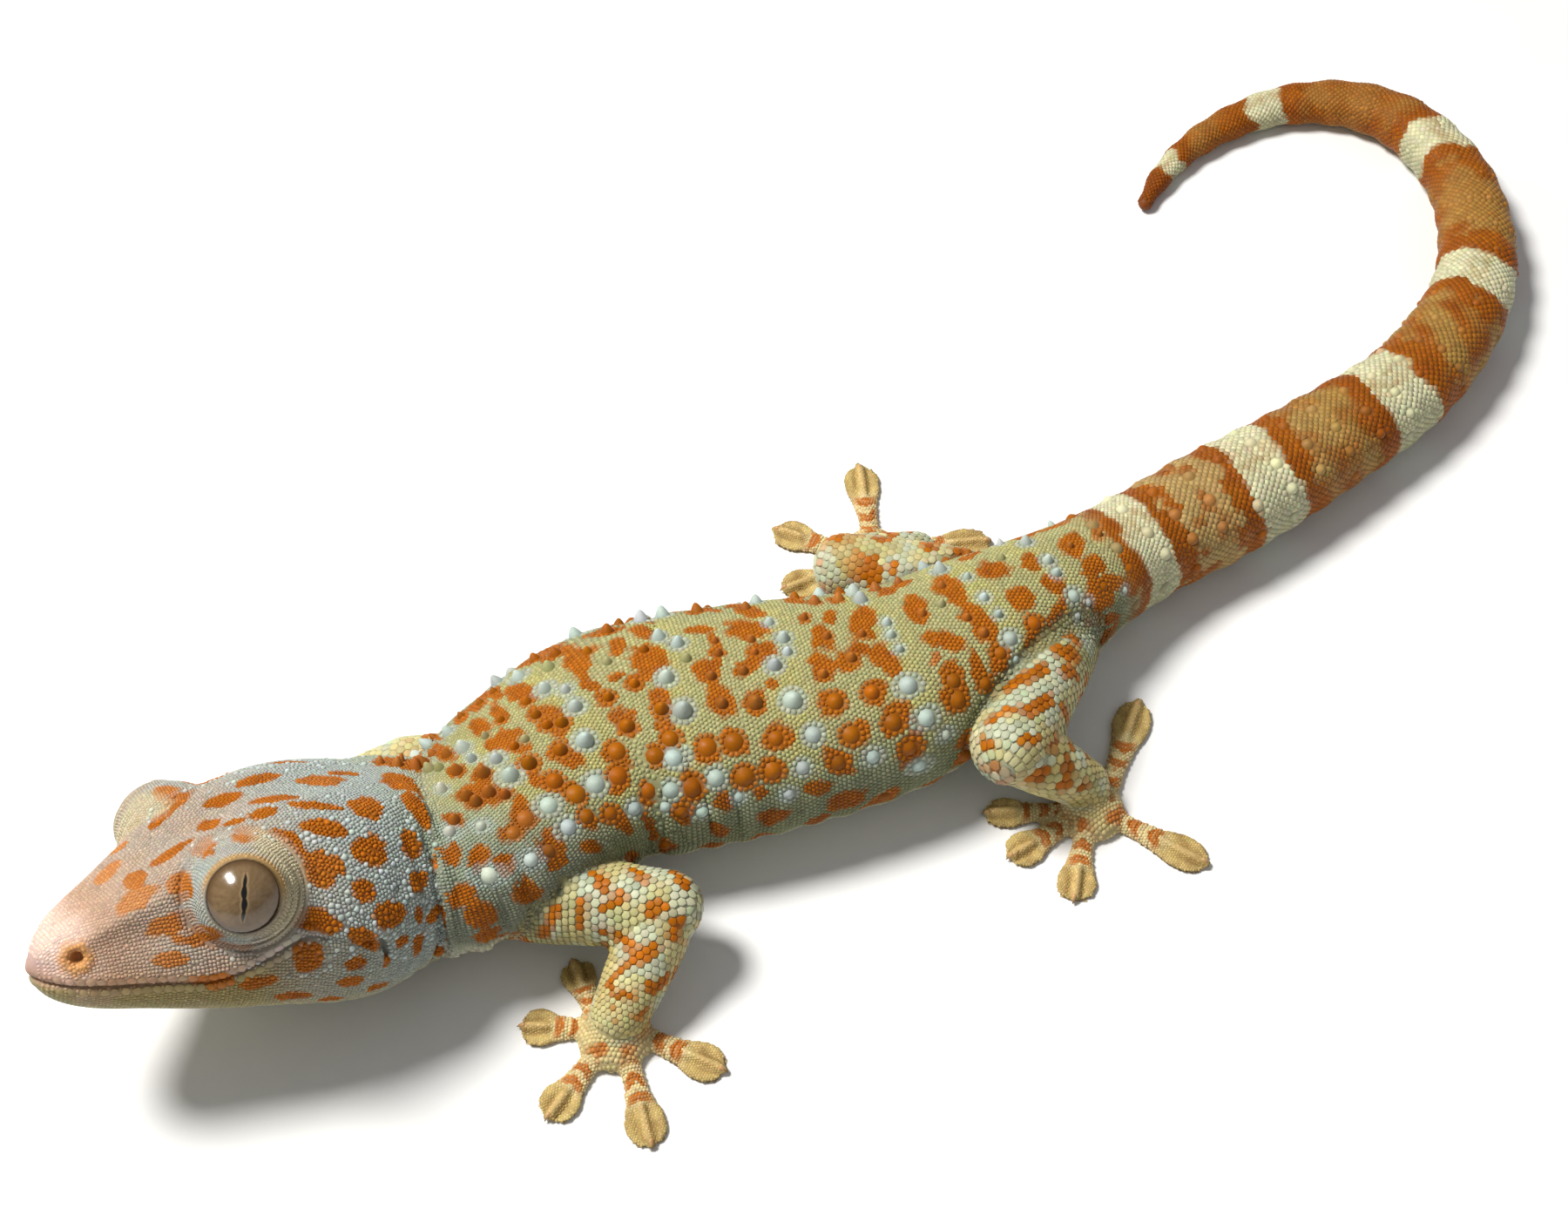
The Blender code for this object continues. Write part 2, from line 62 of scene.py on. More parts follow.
# ---- the animal's own measures, in millimetres, as its solids have them ----------
MM = 0.001
CENTRE = np.array([1.33, -3.44, 0.0])
HEAD_SIZE, HEAD_TURN, HEAD_LIFT, HEAD_TILT = 1.03, 15.5, 17.5, 29.0
SNOUT = np.array([-112.6, -37.6, 23.9])
HEAD_BACK = 42.0
EYE_AT = (20.4, 11.0, 7.7)
EYE_RADIUS = 4.9
EYE_LOOK = (0.34, 0.88, 0.32)
BROW_RADIUS, BROW_SET = 6.25, 2.2
NECK_BLEND = 7.0
HEAD_X = (0, 1, 3, 6, 10, 14, 18, 22, 26, 30, 34, 38, 42)
HEAD_W = (0.8, 2.7, 4.6, 6.2, 8.0, 10.0, 11.9, 13.4, 14.4, 15.5, 15.9, 15.2, 13.6)
HEAD_T = (1.7, 3.7, 5.3, 6.8, 8.6, 10.4, 12.0, 13.0, 13.4, 13.4, 13.0, 12.2, 11.2)
HEAD_B = (0.5, 2.2, 3.7, 5.0, 6.1, 7.2, 8.2, 9.1, 10.2, 11.3, 11.9, 11.8, 11.2)
MOUTH = ((0, 0.0), (12, 0.0), (18, 0.35), (23, 1.0), (25.3, 1.7), (27.3, 2.0))
SPINE = (
    ("nape", -65.9, -27.5, 11.2, 13.6, 9.9, 11.0, 20), ("neck", -59.3, -26.0, 11.6, 14.0, 9.8, 11.4, 10),
    ("withers", -52.1, -22.2, 11.6, 14.4, 10.0, 11.6, 3), ("shoulder", -43.0, -18.6, 11.3, 15.2, 10.5, 11.3, 0),
    ("chest", -34.8, -18.8, 11.0, 15.8, 10.8, 11.2, 0), ("midback", -22.4, -19.7, 10.7, 15.3, 10.8, 11.0, 0),
    ("loin", -9.8, -20.1, 10.4, 14.0, 10.4, 10.6, 0), ("flank", -2.4, -18.8, 10.2, 12.7, 10.1, 10.4, 0),
    ("hip", 5.2, -16.6, 10.0, 11.8, 9.8, 10.1, 0), ("rump", 13.9, -13.6, 9.4, 10.0, 9.0, 9.5, 0),
    ("vent", 22.9, -9.9, 8.4, 8.1, 7.9, 8.5, 0), ("tail_root", 33.4, -6.0, 7.4, 7.6, 7.1, 7.5, 0),
    ("tail_swell", 43.4, -3.0, 7.1, 8.1, 6.9, 7.2, 0), ("tail_c", 54.0, 0.2, 6.8, 7.8, 6.7, 6.9, 0),
    ("tail_d", 65.0, 4.1, 6.4, 7.3, 6.3, 6.5, 0), ("tail_e", 78.0, 9.4, 6.0, 6.8, 5.8, 6.1, 0),
    ("tail_f", 88.2, 16.2, 5.7, 6.5, 5.6, 5.8, 0), ("tail_g", 96.2, 24.1, 5.3, 6.1, 5.2, 5.4, 0),
    ("tail_h", 101.7, 33.5, 5.0, 5.7, 4.9, 5.1, 0), ("tail_i", 104.9, 44.4, 4.6, 5.2, 4.5, 4.7, 0),
    ("tail_j", 104.7, 54.3, 4.2, 4.8, 4.1, 4.3, 0), ("tail_k", 102.0, 62.1, 3.8, 4.4, 3.7, 3.9, 0),
    ("tail_l", 96.1, 67.7, 3.4, 3.9, 3.3, 3.5, 0), ("tail_m", 87.2, 70.4, 2.9, 3.3, 2.8, 3.0, 0),
    ("tail_n", 77.9, 69.4, 2.5, 2.8, 2.4, 2.6, 0), ("tail_o", 69.8, 66.3, 2.1, 2.3, 2.0, 2.2, 0),
    ("tail_p", 63.6, 62.0, 1.7, 1.9, 1.6, 1.8, 0), ("tail_tip", 59.8, 58.2, 1.4, 1.3, 1.2, 1.5, 0),
)
LIMBS = {
    "arm_left": dict(root=(-58.4, -34.8, 9.2), r_root=5.5, mid=(-42.2, -41.9, 10.2), r_mid=4.6,
                     end=(-50.4, -50.2, 3.9), r_end=3.7, palm=(-51.5, -51.4), spread=4.5, aim=250,
                     toes=(((-53.3, -47.6), (-54.0, -39.9)), ((-54.6, -49.6), (-62.4, -46.8)),
                           ((-54.9, -53.7), (-62.2, -59.6)), ((-50.9, -55.6), (-51.0, -66.8)),
                           ((-48.2, -52.6), (-39.9, -60.0)))),
    "arm_right": dict(root=(-54.0, -15.5, 6.8), r_root=4.6, mid=(-67.2, -10.9, 6.0), r_mid=4.0,
                      end=(-76.8, -10.2, 3.4), r_end=3.1, palm=(-79.0, -10.0), spread=4.1, aim=190,
                      toes=(((-79.4, -13.0), (-81.6, -18.6)), ((-81.4, -12.2), (-88.8, -18.8)),
                            ((-82.6, -10.4), (-93.4, -13.6)), ((-82.2, -8.0), (-92.6, -5.6)),
                            ((-80.0, -6.8), (-85.6, -2.8)))),
    "leg_left": dict(root=(15.6, -17.6, 9.4), r_root=6.6, mid=(3.6, -33.8, 12.6), r_mid=5.1,
                     end=(13.0, -36.6, 3.8), r_end=3.4, palm=(13.2, -38.9), spread=4.3, aim=290,
                     toes=(((9.4, -37.8), (0.0, -35.2)), ((9.7, -40.0), (0.7, -42.4)),
                           ((11.3, -42.1), (6.4, -50.8)), ((15.8, -41.0), (25.0, -50.9)),
                           ((16.8, -36.4), (26.0, -24.6)))),
    "leg_right": dict(root=(12.6, -11.0, 9.4), r_root=5.6, mid=(-6.2, 0.7, 8.8), r_mid=4.6,
                      end=(5.0, 4.4, 3.4), r_end=2.7, palm=(-0.2, 7.0), spread=4.2, aim=110,
                      toes=(((-3.6, 4.6), (-11.4, -0.4)), ((-4.4, 6.0), (-14.1, 5.4)),
                            ((-3.9, 9.0), (-12.1, 16.0)), ((0.6, 10.6), (3.0, 23.6)),
                            ((3.6, 7.2), (16.6, 4.9)))),
}
TOE = ((0.00, 1.65, 2.0), (0.26, 1.45, 1.6), (0.48, 1.85, 1.4), (0.68, 2.60, 1.2),
       (0.84, 2.35, 1.1), (0.92, 1.10, 1.1), (1.00, 0.30, 0.75))


def unit(v):
    v = np.asarray(v, float)
    return v / np.maximum(np.linalg.norm(v, axis=-1, keepdims=True), 1e-12)


def smooth(a, b, x):
    t = np.clip((np.asarray(x, float) - a) / (b - a), 0.0, 1.0)
    return t * t * (3 - 2 * t)


def table_at(keys, values, x):
    """Cubic line through a table, Catmull-Rom slopes, for many x at once."""
    keys = np.asarray(keys, float)
    values = np.asarray(values, float)
    flat = values.ndim == 1
    if flat:
        values = values[:, None]
    x = np.atleast_1d(np.asarray(x, float))
    i = np.clip(np.searchsorted(keys, x) - 1, 0, len(keys) - 2)
    h = (keys[i + 1] - keys[i])[:, None]
    t = ((x - keys[i]) / h[:, 0])[:, None]
    a0, b0 = np.maximum(i - 1, 0), np.minimum(i + 1, len(keys) - 1)
    a1, b1 = i, np.minimum(i + 2, len(keys) - 1)
    m0 = (values[b0] - values[a0]) / (keys[b0] - keys[a0])[:, None] * h
    m1 = (values[b1] - values[a1]) / (keys[b1] - keys[a1])[:, None] * h
    out = ((2 * t**3 - 3 * t**2 + 1) * values[i] + (t**3 - 2 * t**2 + t) * m0
           + (-2 * t**3 + 3 * t**2) * values[i + 1] + (t**3 - t**2) * m1)
    return out[:, 0] if flat else out


def head_axes():
    turn, lift, tilt = (math.radians(d) for d in (HEAD_TURN, HEAD_LIFT, HEAD_TILT))
    flat = np.array([-math.cos(turn), -math.sin(turn), 0.0])
    ahead = flat * math.cos(lift) + np.array([0, 0, math.sin(lift)])
    left = np.cross((0, 0, 1), flat)
    up = np.cross(ahead, left)
    return (ahead, left * math.cos(tilt) + up * math.sin(tilt), up * math.cos(tilt) - left * math.sin(tilt))


AHEAD, LEFT, UP = head_axes()


def in_head(back, side, high):
    back, side, high = (np.asarray(q, float)[..., None] for q in (back, side, high))
    return SNOUT + CENTRE + HEAD_SIZE * (-AHEAD * back + LEFT * side + UP * high)


def head_coords(points):
    """Back from the snout, to the left, above the mouth line, of points in the model."""
    q = (np.asarray(points, float) - SNOUT - CENTRE) / HEAD_SIZE
    return np.stack([-(q @ AHEAD), q @ LEFT, q @ UP], -1)


def eye_axes(side):
    look = unit(AHEAD * EYE_LOOK[0] + LEFT * side * EYE_LOOK[1] + UP * EYE_LOOK[2])
    high = unit(UP - look * np.dot(UP, look))
    return np.cross(high, look), high, look


def eye_centre(side, along=0.0):
    return in_head(EYE_AT[0], side * EYE_AT[1], EYE_AT[2]) + eye_axes(side)[2] * along * HEAD_SIZE


# outline of the head across: shares of half width and of height or depth
UPPER = ((0.30, 1.0), (0.57, 0.95), (0.77, 0.76), (0.92, 0.46), (1.0, 0.12))
LOWER = ((0.98, 0.14), (0.89, 0.5), (0.70, 0.82), (0.38, 0.97))


def head_outline(back, angles, grow=0.0):
    """Sections of the head: (n backs, m angles, 2) as sideways and high. Angle 0 is left, 90 the crown."""
    back = np.atleast_1d(np.asarray(back, float))
    w = table_at(HEAD_X, HEAD_W, back) + grow
    t = table_at(HEAD_X, HEAD_T, back) + grow
    b = table_at(HEAD_X, HEAD_B, back) + grow
    one = np.ones_like(w)
    side, high = [0 * w], [t]
    for x, z in UPPER:
        side.append(-x * w), high.append(z * t)
    for x, z in LOWER:
        side.append(-x * w), high.append(-z * b)
    side.append(0 * one), high.append(-b)
    for x, z in reversed(LOWER):
        side.append(x * w), high.append(-z * b)
    for x, z in reversed(UPPER):
        side.append(x * w), high.append(z * t)
    pts = np.stack([np.stack(side, -1), np.stack(high, -1)], -1)
    pts = np.roll(pts, 5, axis=1)
    n = pts.shape[1]
    u = (np.asarray(angles) / (2 * math.pi) * n) % n
    i = np.floor(u).astype(int)
    f = (u - i)[None, :, None]
    p0, p1, p2, p3 = (pts[:, (i + k) % n] for k in (-1, 0, 1, 2))
    return 0.5 * ((2 * p1) + (-p0 + p2) * f + (2 * p0 - 5 * p1 + 4 * p2 - p3) * f**2
                  + (-p0 + 3 * p1 - 3 * p2 + p3) * f**3)


def spine_rows():
    cut = in_head(HEAD_BACK, 0, 0.6) - CENTRE
    w, t, b = (float(table_at(HEAD_X, q, HEAD_BACK)[0]) * HEAD_SIZE for q in (HEAD_W, HEAD_T, HEAD_B))
    rows = np.array([[*cut, w, t - 0.6, b + 0.6, HEAD_TILT]] + [list(r[1:]) for r in SPINE])
    along = np.concatenate([[0.0], np.cumsum(np.linalg.norm(np.diff(rows[:, :3], axis=0), axis=1))])
    return rows, along


SPINE_ROWS, SPINE_S = spine_rows()
STATION = dict(zip(["cut"] + [r[0] for r in SPINE], SPINE_S))
LONG_END = float(SPINE_S[-1])


def spine_at(s):
    s = np.atleast_1d(np.asarray(s, float))
    row = table_at(SPINE_S, SPINE_ROWS, s)
    a, b = np.maximum(s - 0.2, 0.0), np.minimum(s + 0.2, LONG_END)
    ahead = unit(table_at(SPINE_S, SPINE_ROWS, a)[:, :3] - table_at(SPINE_S, SPINE_ROWS, b)[:, :3])
    blend = np.clip((s - 0.5) / 5.0, 0, 1)[:, None]
    ahead = unit(AHEAD * (1 - blend) + ahead * blend)
    left = unit(np.cross(np.array([0, 0, 1.0]), ahead))
    up = np.cross(ahead, left)
    roll = np.radians(row[:, 6])[:, None]
    return (row[:, :3] + CENTRE, left * np.cos(roll) + up * np.sin(roll),
            up * np.cos(roll) - left * np.sin(roll), row[:, 3], row[:, 4], row[:, 5])


def long_rings(v, angles, grow=0.0):
    """Rings of head, trunk and tail as one length: v below 0 is the head (v = back - 42)."""
    v = np.atleast_1d(np.asarray(v, float))
    angles = np.asarray(angles, float)
    out = np.zeros((len(v), len(angles), 3))
    head = v < 0
    if head.any():
        back = v[head] + HEAD_BACK
        sec = head_outline(back, angles, grow / HEAD_SIZE)
        out[head] = in_head(np.repeat(back[:, None], len(angles), 1), sec[..., 0], sec[..., 1])
    rest = ~head
    if rest.any():
        s = v[rest]
        centre, left, up, half, top, deep = spine_at(s)
        c, q = np.cos(angles), np.sin(angles)
        e = 2 / 2.25
        x = (half + grow)[:, None] * (np.sign(c) * np.abs(c) ** e)[None]
        z = np.where(q[None] >= 0, (top + grow)[:, None], (deep + grow)[:, None]) * (np.sign(q) * np.abs(q) ** e)[None]
        ring = centre[:, None] + left[:, None] * x[..., None] + up[:, None] * z[..., None]
        nape = head_outline([HEAD_BACK], angles, grow / HEAD_SIZE)[0]
        nape = in_head(np.full(len(angles), HEAD_BACK), nape[:, 0], nape[:, 1])
        share = np.clip((s - 0.3) / NECK_BLEND, 0, 1)
        share = (share * share * (3 - 2 * share))[:, None, None]
        out[rest] = (nape[None] - AHEAD * s[:, None, None]) * (1 - share) + ring * share
    return out


# ---- surfaces of the parts, each a grid of points with its own coordinates -------
COAT = 0.30          # depth of the scales over the skin on head, trunk and tail, mm
COAT_FOOT = 0.16     # the same on palms and toes
TAU = 2 * math.pi


def arc_table(grid, crown):
    """Signed length round each ring from its crown, + to the left, and half the way round."""
    nxt = np.linalg.norm(np.roll(grid, -1, axis=1) - grid, axis=-1)
    n = grid.shape[1]
    half = nxt.sum(1) / 2
    arc = np.zeros(grid.shape[:2])
    for k in range(1, n // 2 + 1):
        j = (crown - k) % n
        arc[:, j] = arc[:, (j + 1) % n] + nxt[:, j]
    for k in range(1, n // 2):
        j = (crown + k) % n
        arc[:, j] = arc[:, (j - 1) % n] - nxt[:, (j - 1) % n]
    return arc, half


def part(name, kind, grid, v, first=None, last=None, crown=None):
    grid = np.array(grid, float)
    crown = grid.shape[1] // 4 if crown is None else crown
    arc, half = arc_table(grid, crown)
    return dict(name=name, kind=kind, grid=grid, v=np.asarray(v, float), arc=arc, half=half,
                first=first, last=last, crown=crown)


def floor_at(grid, z):
    grid = np.array(grid)
    grid[..., 2] = np.maximum(grid[..., 2], z)
    return grid


def long_part(grow=-COAT):
    v = np.concatenate([[-42, -41.6, -41, -40.2], np.arange(-39.3, 0, 0.75), np.arange(0, 100, 1.0),
                        np.arange(100, LONG_END, 1.0), [LONG_END]])
    a = np.arange(96) * TAU / 96
    grid = floor_at(long_rings(v, a, grow), 0.14)
    c, left, up, half, top, deep = spine_at([LONG_END])
    ahead = np.cross(left[0], up[0])
    end = c[0] - ahead * 0.8
    cap = end + (grid[-1] - c[0]) * 0.6
    grid = np.concatenate([grid, cap[None]])
    v = np.append(v, LONG_END + 0.8)
    return part("long", "long", floor_at(grid, 0.14), v, in_head(-0.35 + COAT, 0, 0.8), c[0] - ahead * 1.1)


def brow_part(side, grow=-0.25):
    """The mound that carries an eye: rings round the eye's own axis, from its pole inward."""
    fwd, high, look = eye_axes(side)
    c = eye_centre(side, -BROW_SET)
    r = BROW_RADIUS * HEAD_SIZE + grow
    polar = np.radians(np.concatenate([[3, 10], np.arange(18, 178, 5)]))
    a = np.arange(64) * TAU / 64
    grid = (c + fwd * 1.04 * r * np.sin(polar)[:, None, None] * np.cos(a)[None, :, None]
            + high * r * np.sin(polar)[:, None, None] * np.sin(a)[None, :, None]
            + look * r * np.cos(polar)[:, None, None] + 0 * a[None, :, None])
    return part("brow_left" if side > 0 else "brow_right", "brow", grid, polar * r, c + look * r, c - look * r)


def tube_part(label, which, grow=-COAT):
    limb = LIMBS[label]
    if which == "upper":
        a, b, r0, r1 = limb["root"], limb["mid"], limb["r_root"], limb["r_mid"]
    else:
        a, b, r0, r1 = limb["mid"], limb["end"], limb["r_mid"] * 0.94, limb["r_end"]
    a, b = np.array(a) + CENTRE, np.array(b) + CENTRE
    r0, r1 = r0 + grow, r1 + grow
    ahead = unit(b - a)
    sideways = unit(np.cross(ahead, (0.0, 0.0, 1.0)))
    up = np.cross(sideways, ahead)
    length = float(np.linalg.norm(b - a))
    s = np.concatenate([-r0 * np.array([0.96, 0.85, 0.7, 0.5, 0.3, 0.12]), np.linspace(0, length, 26),
                        length + r1 * np.array([0.12, 0.3, 0.5, 0.7, 0.85, 0.96])])
    t = np.clip(s / length, 0, 1)
    r = (r0 * (1 - t) + r1 * t) * (1 + 0.06 * np.sin(math.pi * t))
    r = np.where(s < 0, np.sqrt(np.maximum(r0**2 - s**2, 0)), r)
    r = np.where(s > length, np.sqrt(np.maximum(r1**2 - (s - length) ** 2, 0)), r)
    ang = np.arange(48) * TAU / 48
    grid = (a + ahead * s[:, None, None] + sideways * (r[:, None] * np.cos(ang)[None])[..., None]
            + up * (r[:, None] * np.sin(ang)[None])[..., None])
    first, last = a - ahead * r0, b + ahead * r1
    for p in (first, last):
        p[2] = max(p[2], 0.4)
    return part(label + "_" + which, "limb", floor_at(grid, 0.14), s, first, last)


def foot_name(label):
    return ("hand_" if label.startswith("arm") else "foot_") + label.split("_")[1]


def palm_part(label, grow=-COAT_FOOT):
    limb = LIMBS[label]
    cx, cy = limb["palm"][0] + CENTRE[0], limb["palm"][1] + CENTRE[1]
    aim = math.radians(limb["aim"])
    share = np.array([0.3, 0.6, 0.86, 0.97, 1.0, 0.99, 0.93, 0.80, 0.62, 0.42, 0.2])
    high = np.array([0.12, 0.12, 0.12, 0.3, 0.6, 1.1, 1.8, 2.5, 3.0, 3.25, 3.4])
    a = np.arange(48) * TAU / 48
    r = limb["spread"] * share + grow * (high > 0.2)
    stretch = 1 + 0.10 * np.cos(a - aim)
    grid = np.zeros((len(share), 48, 3))
    grid[..., 0] = cx + r[:, None] * stretch * np.cos(a)
    grid[..., 1] = cy + r[:, None] * stretch * np.sin(a)
    grid[..., 2] = np.where(high > 0.2, high + 0.4 * grow, high)[:, None]
    return part(foot_name(label), "palm", grid, np.arange(len(share)) * 0.6, np.array([cx, cy, 0.12]),
                np.array([cx, cy, 3.45 + 0.4 * grow]))


TOE_FINE = ((0.00, 1.65, 2.0), (0.26, 1.45, 1.6), (0.48, 1.85, 1.4), (0.68, 2.60, 1.2),
            (0.82, 2.45, 1.15), (0.90, 1.75, 1.05), (0.945, 0.75, 0.9))


def toe_frame(label, number):
    base, tip = (np.array([*p, 0.0]) + CENTRE for p in LIMBS[label]["toes"][number - 1])
    ahead = unit(tip - base)
    side = np.array([-ahead[1], ahead[0], 0.0])
    start = base - ahead * 1.6
    return start, ahead, side, float(np.linalg.norm(tip - start)), 0.88 if number == 1 else 1.0


def toe_section(share, x):
    """Height of a toe's back over its sole, as a share, at x from -1 to 1 across it."""
    ax = np.abs(x)
    finger = 0.30 + 0.70 * np.sqrt(np.maximum(1 - ax**2, 0))
    pad = 0.34 + 0.46 * np.maximum(1 - ax**4, 0) ** 0.6 - 0.14 * np.exp(-(((ax - 0.30) / 0.14) ** 2)) \
        + 0.24 * np.exp(-((ax / 0.14) ** 2))
    k = smooth(0.40, 0.62, share)
    return finger * (1 - k) + pad * k


def toe_part(label, number, grow=-COAT_FOOT):
    start, ahead, side, length, wide = toe_frame(label, number)
    share = np.linspace(0, 0.945, 34)
    keys = [q[0] for q in TOE_FINE]
    half = table_at(keys, [q[1] for q in TOE_FINE], share) * wide + grow
    high = table_at(keys, [q[2] for q in TOE_FINE], share) + grow * 0.6
    xs_top = np.cos(np.linspace(0, math.pi, 23))
    xs_low = np.linspace(-0.9, 0.9, 9)
    grid = np.zeros((len(share), 32, 3))
    for i, q in enumerate(share):
        top = toe_section(q, xs_top)
        x = np.concatenate([xs_top, xs_low])
        z = np.concatenate([top * (high[i] - 0.12), np.zeros(9)]) + 0.12
        c = start + ahead * length * q
        grid[i] = c + side * (half[i] * x)[:, None] + np.array([0, 0, 1.0]) * z[:, None]
    return part(f"{foot_name(label)}_toe_{number}", "toe", grid, share * length,
                start + np.array([0, 0, 0.5]), start + ahead * length * 0.965 + np.array([0, 0, 0.45]), crown=11)


def all_parts():
    parts = [long_part(), brow_part(1), brow_part(-1)]
    for label in LIMBS:
        parts += [tube_part(label, "upper"), tube_part(label, "lower"), palm_part(label)]
        parts += [toe_part(label, n) for n in range(1, 6)]
    for i, p in enumerate(parts):
        p["index"] = i
    return parts


def shell(p):
    """Closed triangles and quads over a part's grid."""
    grid = p["grid"]
    n, m = grid.shape[:2]
    i, j = np.meshgrid(np.arange(n - 1), np.arange(m), indexing="ij")
    a, b = i * m + j, i * m + (j + 1) % m
    quads = np.stack([a, b, b + m, a + m], -1).reshape(-1, 4)
    verts = np.concatenate([grid.reshape(-1, 3), [p["first"], p["last"]]])
    k = np.arange(m)
    fan0 = np.stack([np.full(m, n * m), k, (k + 1) % m], -1)
    fan1 = np.stack([np.full(m, n * m + 1), (n - 1) * m + (k + 1) % m, (n - 1) * m + k], -1)
    return verts, quads, np.concatenate([fan0, fan1])


# ---- repeatable noise --------------------------------------------------------------
def hashed(i, j, k, seed):
    h = (i.astype(np.int64) * 374761393 + j.astype(np.int64) * 668265263
         + k.astype(np.int64) * 2147483647 + seed * 1274126177) & 0xFFFFFFFF
    h = ((h ^ (h >> 13)) * 1274126177) & 0xFFFFFFFF
    h = ((h ^ (h >> 16)) * 2246822519) & 0xFFFFFFFF
    return ((h ^ (h >> 15)) & 0xFFFFFF) / float(0x1000000)


def noise3(p, size, seed=0):
    """Smooth noise from 0 to 1 with features of the given size."""
    q = np.asarray(p, float) / size
    i = np.floor(q).astype(np.int64)
    f = q - i
    f = f * f * (3 - 2 * f)
    out = 0.0
    for dx in (0, 1):
        for dy in (0, 1):
            for dz in (0, 1):
                w = (f[:, 0] if dx else 1 - f[:, 0]) * (f[:, 1] if dy else 1 - f[:, 1]) * (f[:, 2] if dz else 1 - f[:, 2])
                out = out + w * hashed(i[:, 0] + dx, i[:, 1] + dy, i[:, 2] + dz, seed)
    return out


def cells3(p, size, seed=0):
    """Distance to the nearest scattered point, and that point's own random number."""
    q = np.asarray(p, float) / size
    i = np.floor(q).astype(np.int64)
    best = np.full(len(q), 9.0)
    own = np.zeros(len(q))
    for dx in (-1, 0, 1):
        for dy in (-1, 0, 1):
            for dz in (-1, 0, 1):
                c = i + np.array([dx, dy, dz])
                at = np.stack([c[:, k] + 0.15 + 0.7 * hashed(c[:, 0], c[:, 1], c[:, 2], seed + 11 * k) for k in range(3)], -1)
                d = np.linalg.norm(at - q, axis=1)
                near = d < best
                best[near] = d[near]
                own[near] = hashed(c[:, 0], c[:, 1], c[:, 2], seed + 77)[near]
    return best * size, own


MOUTH_LINE = ((0, 0.3), (3, -0.25), (7, -0.8), (12.3, -1.3), (16.4, -1.7), (20.7, -0.2), (24, 1.3), (26, 1.9), (28.2, 1.0), (60, 1.0))


def mouth_height(back):
    return table_at([q[0] for q in MOUTH_LINE], [q[1] for q in MOUTH_LINE], np.clip(back, 0, 59))


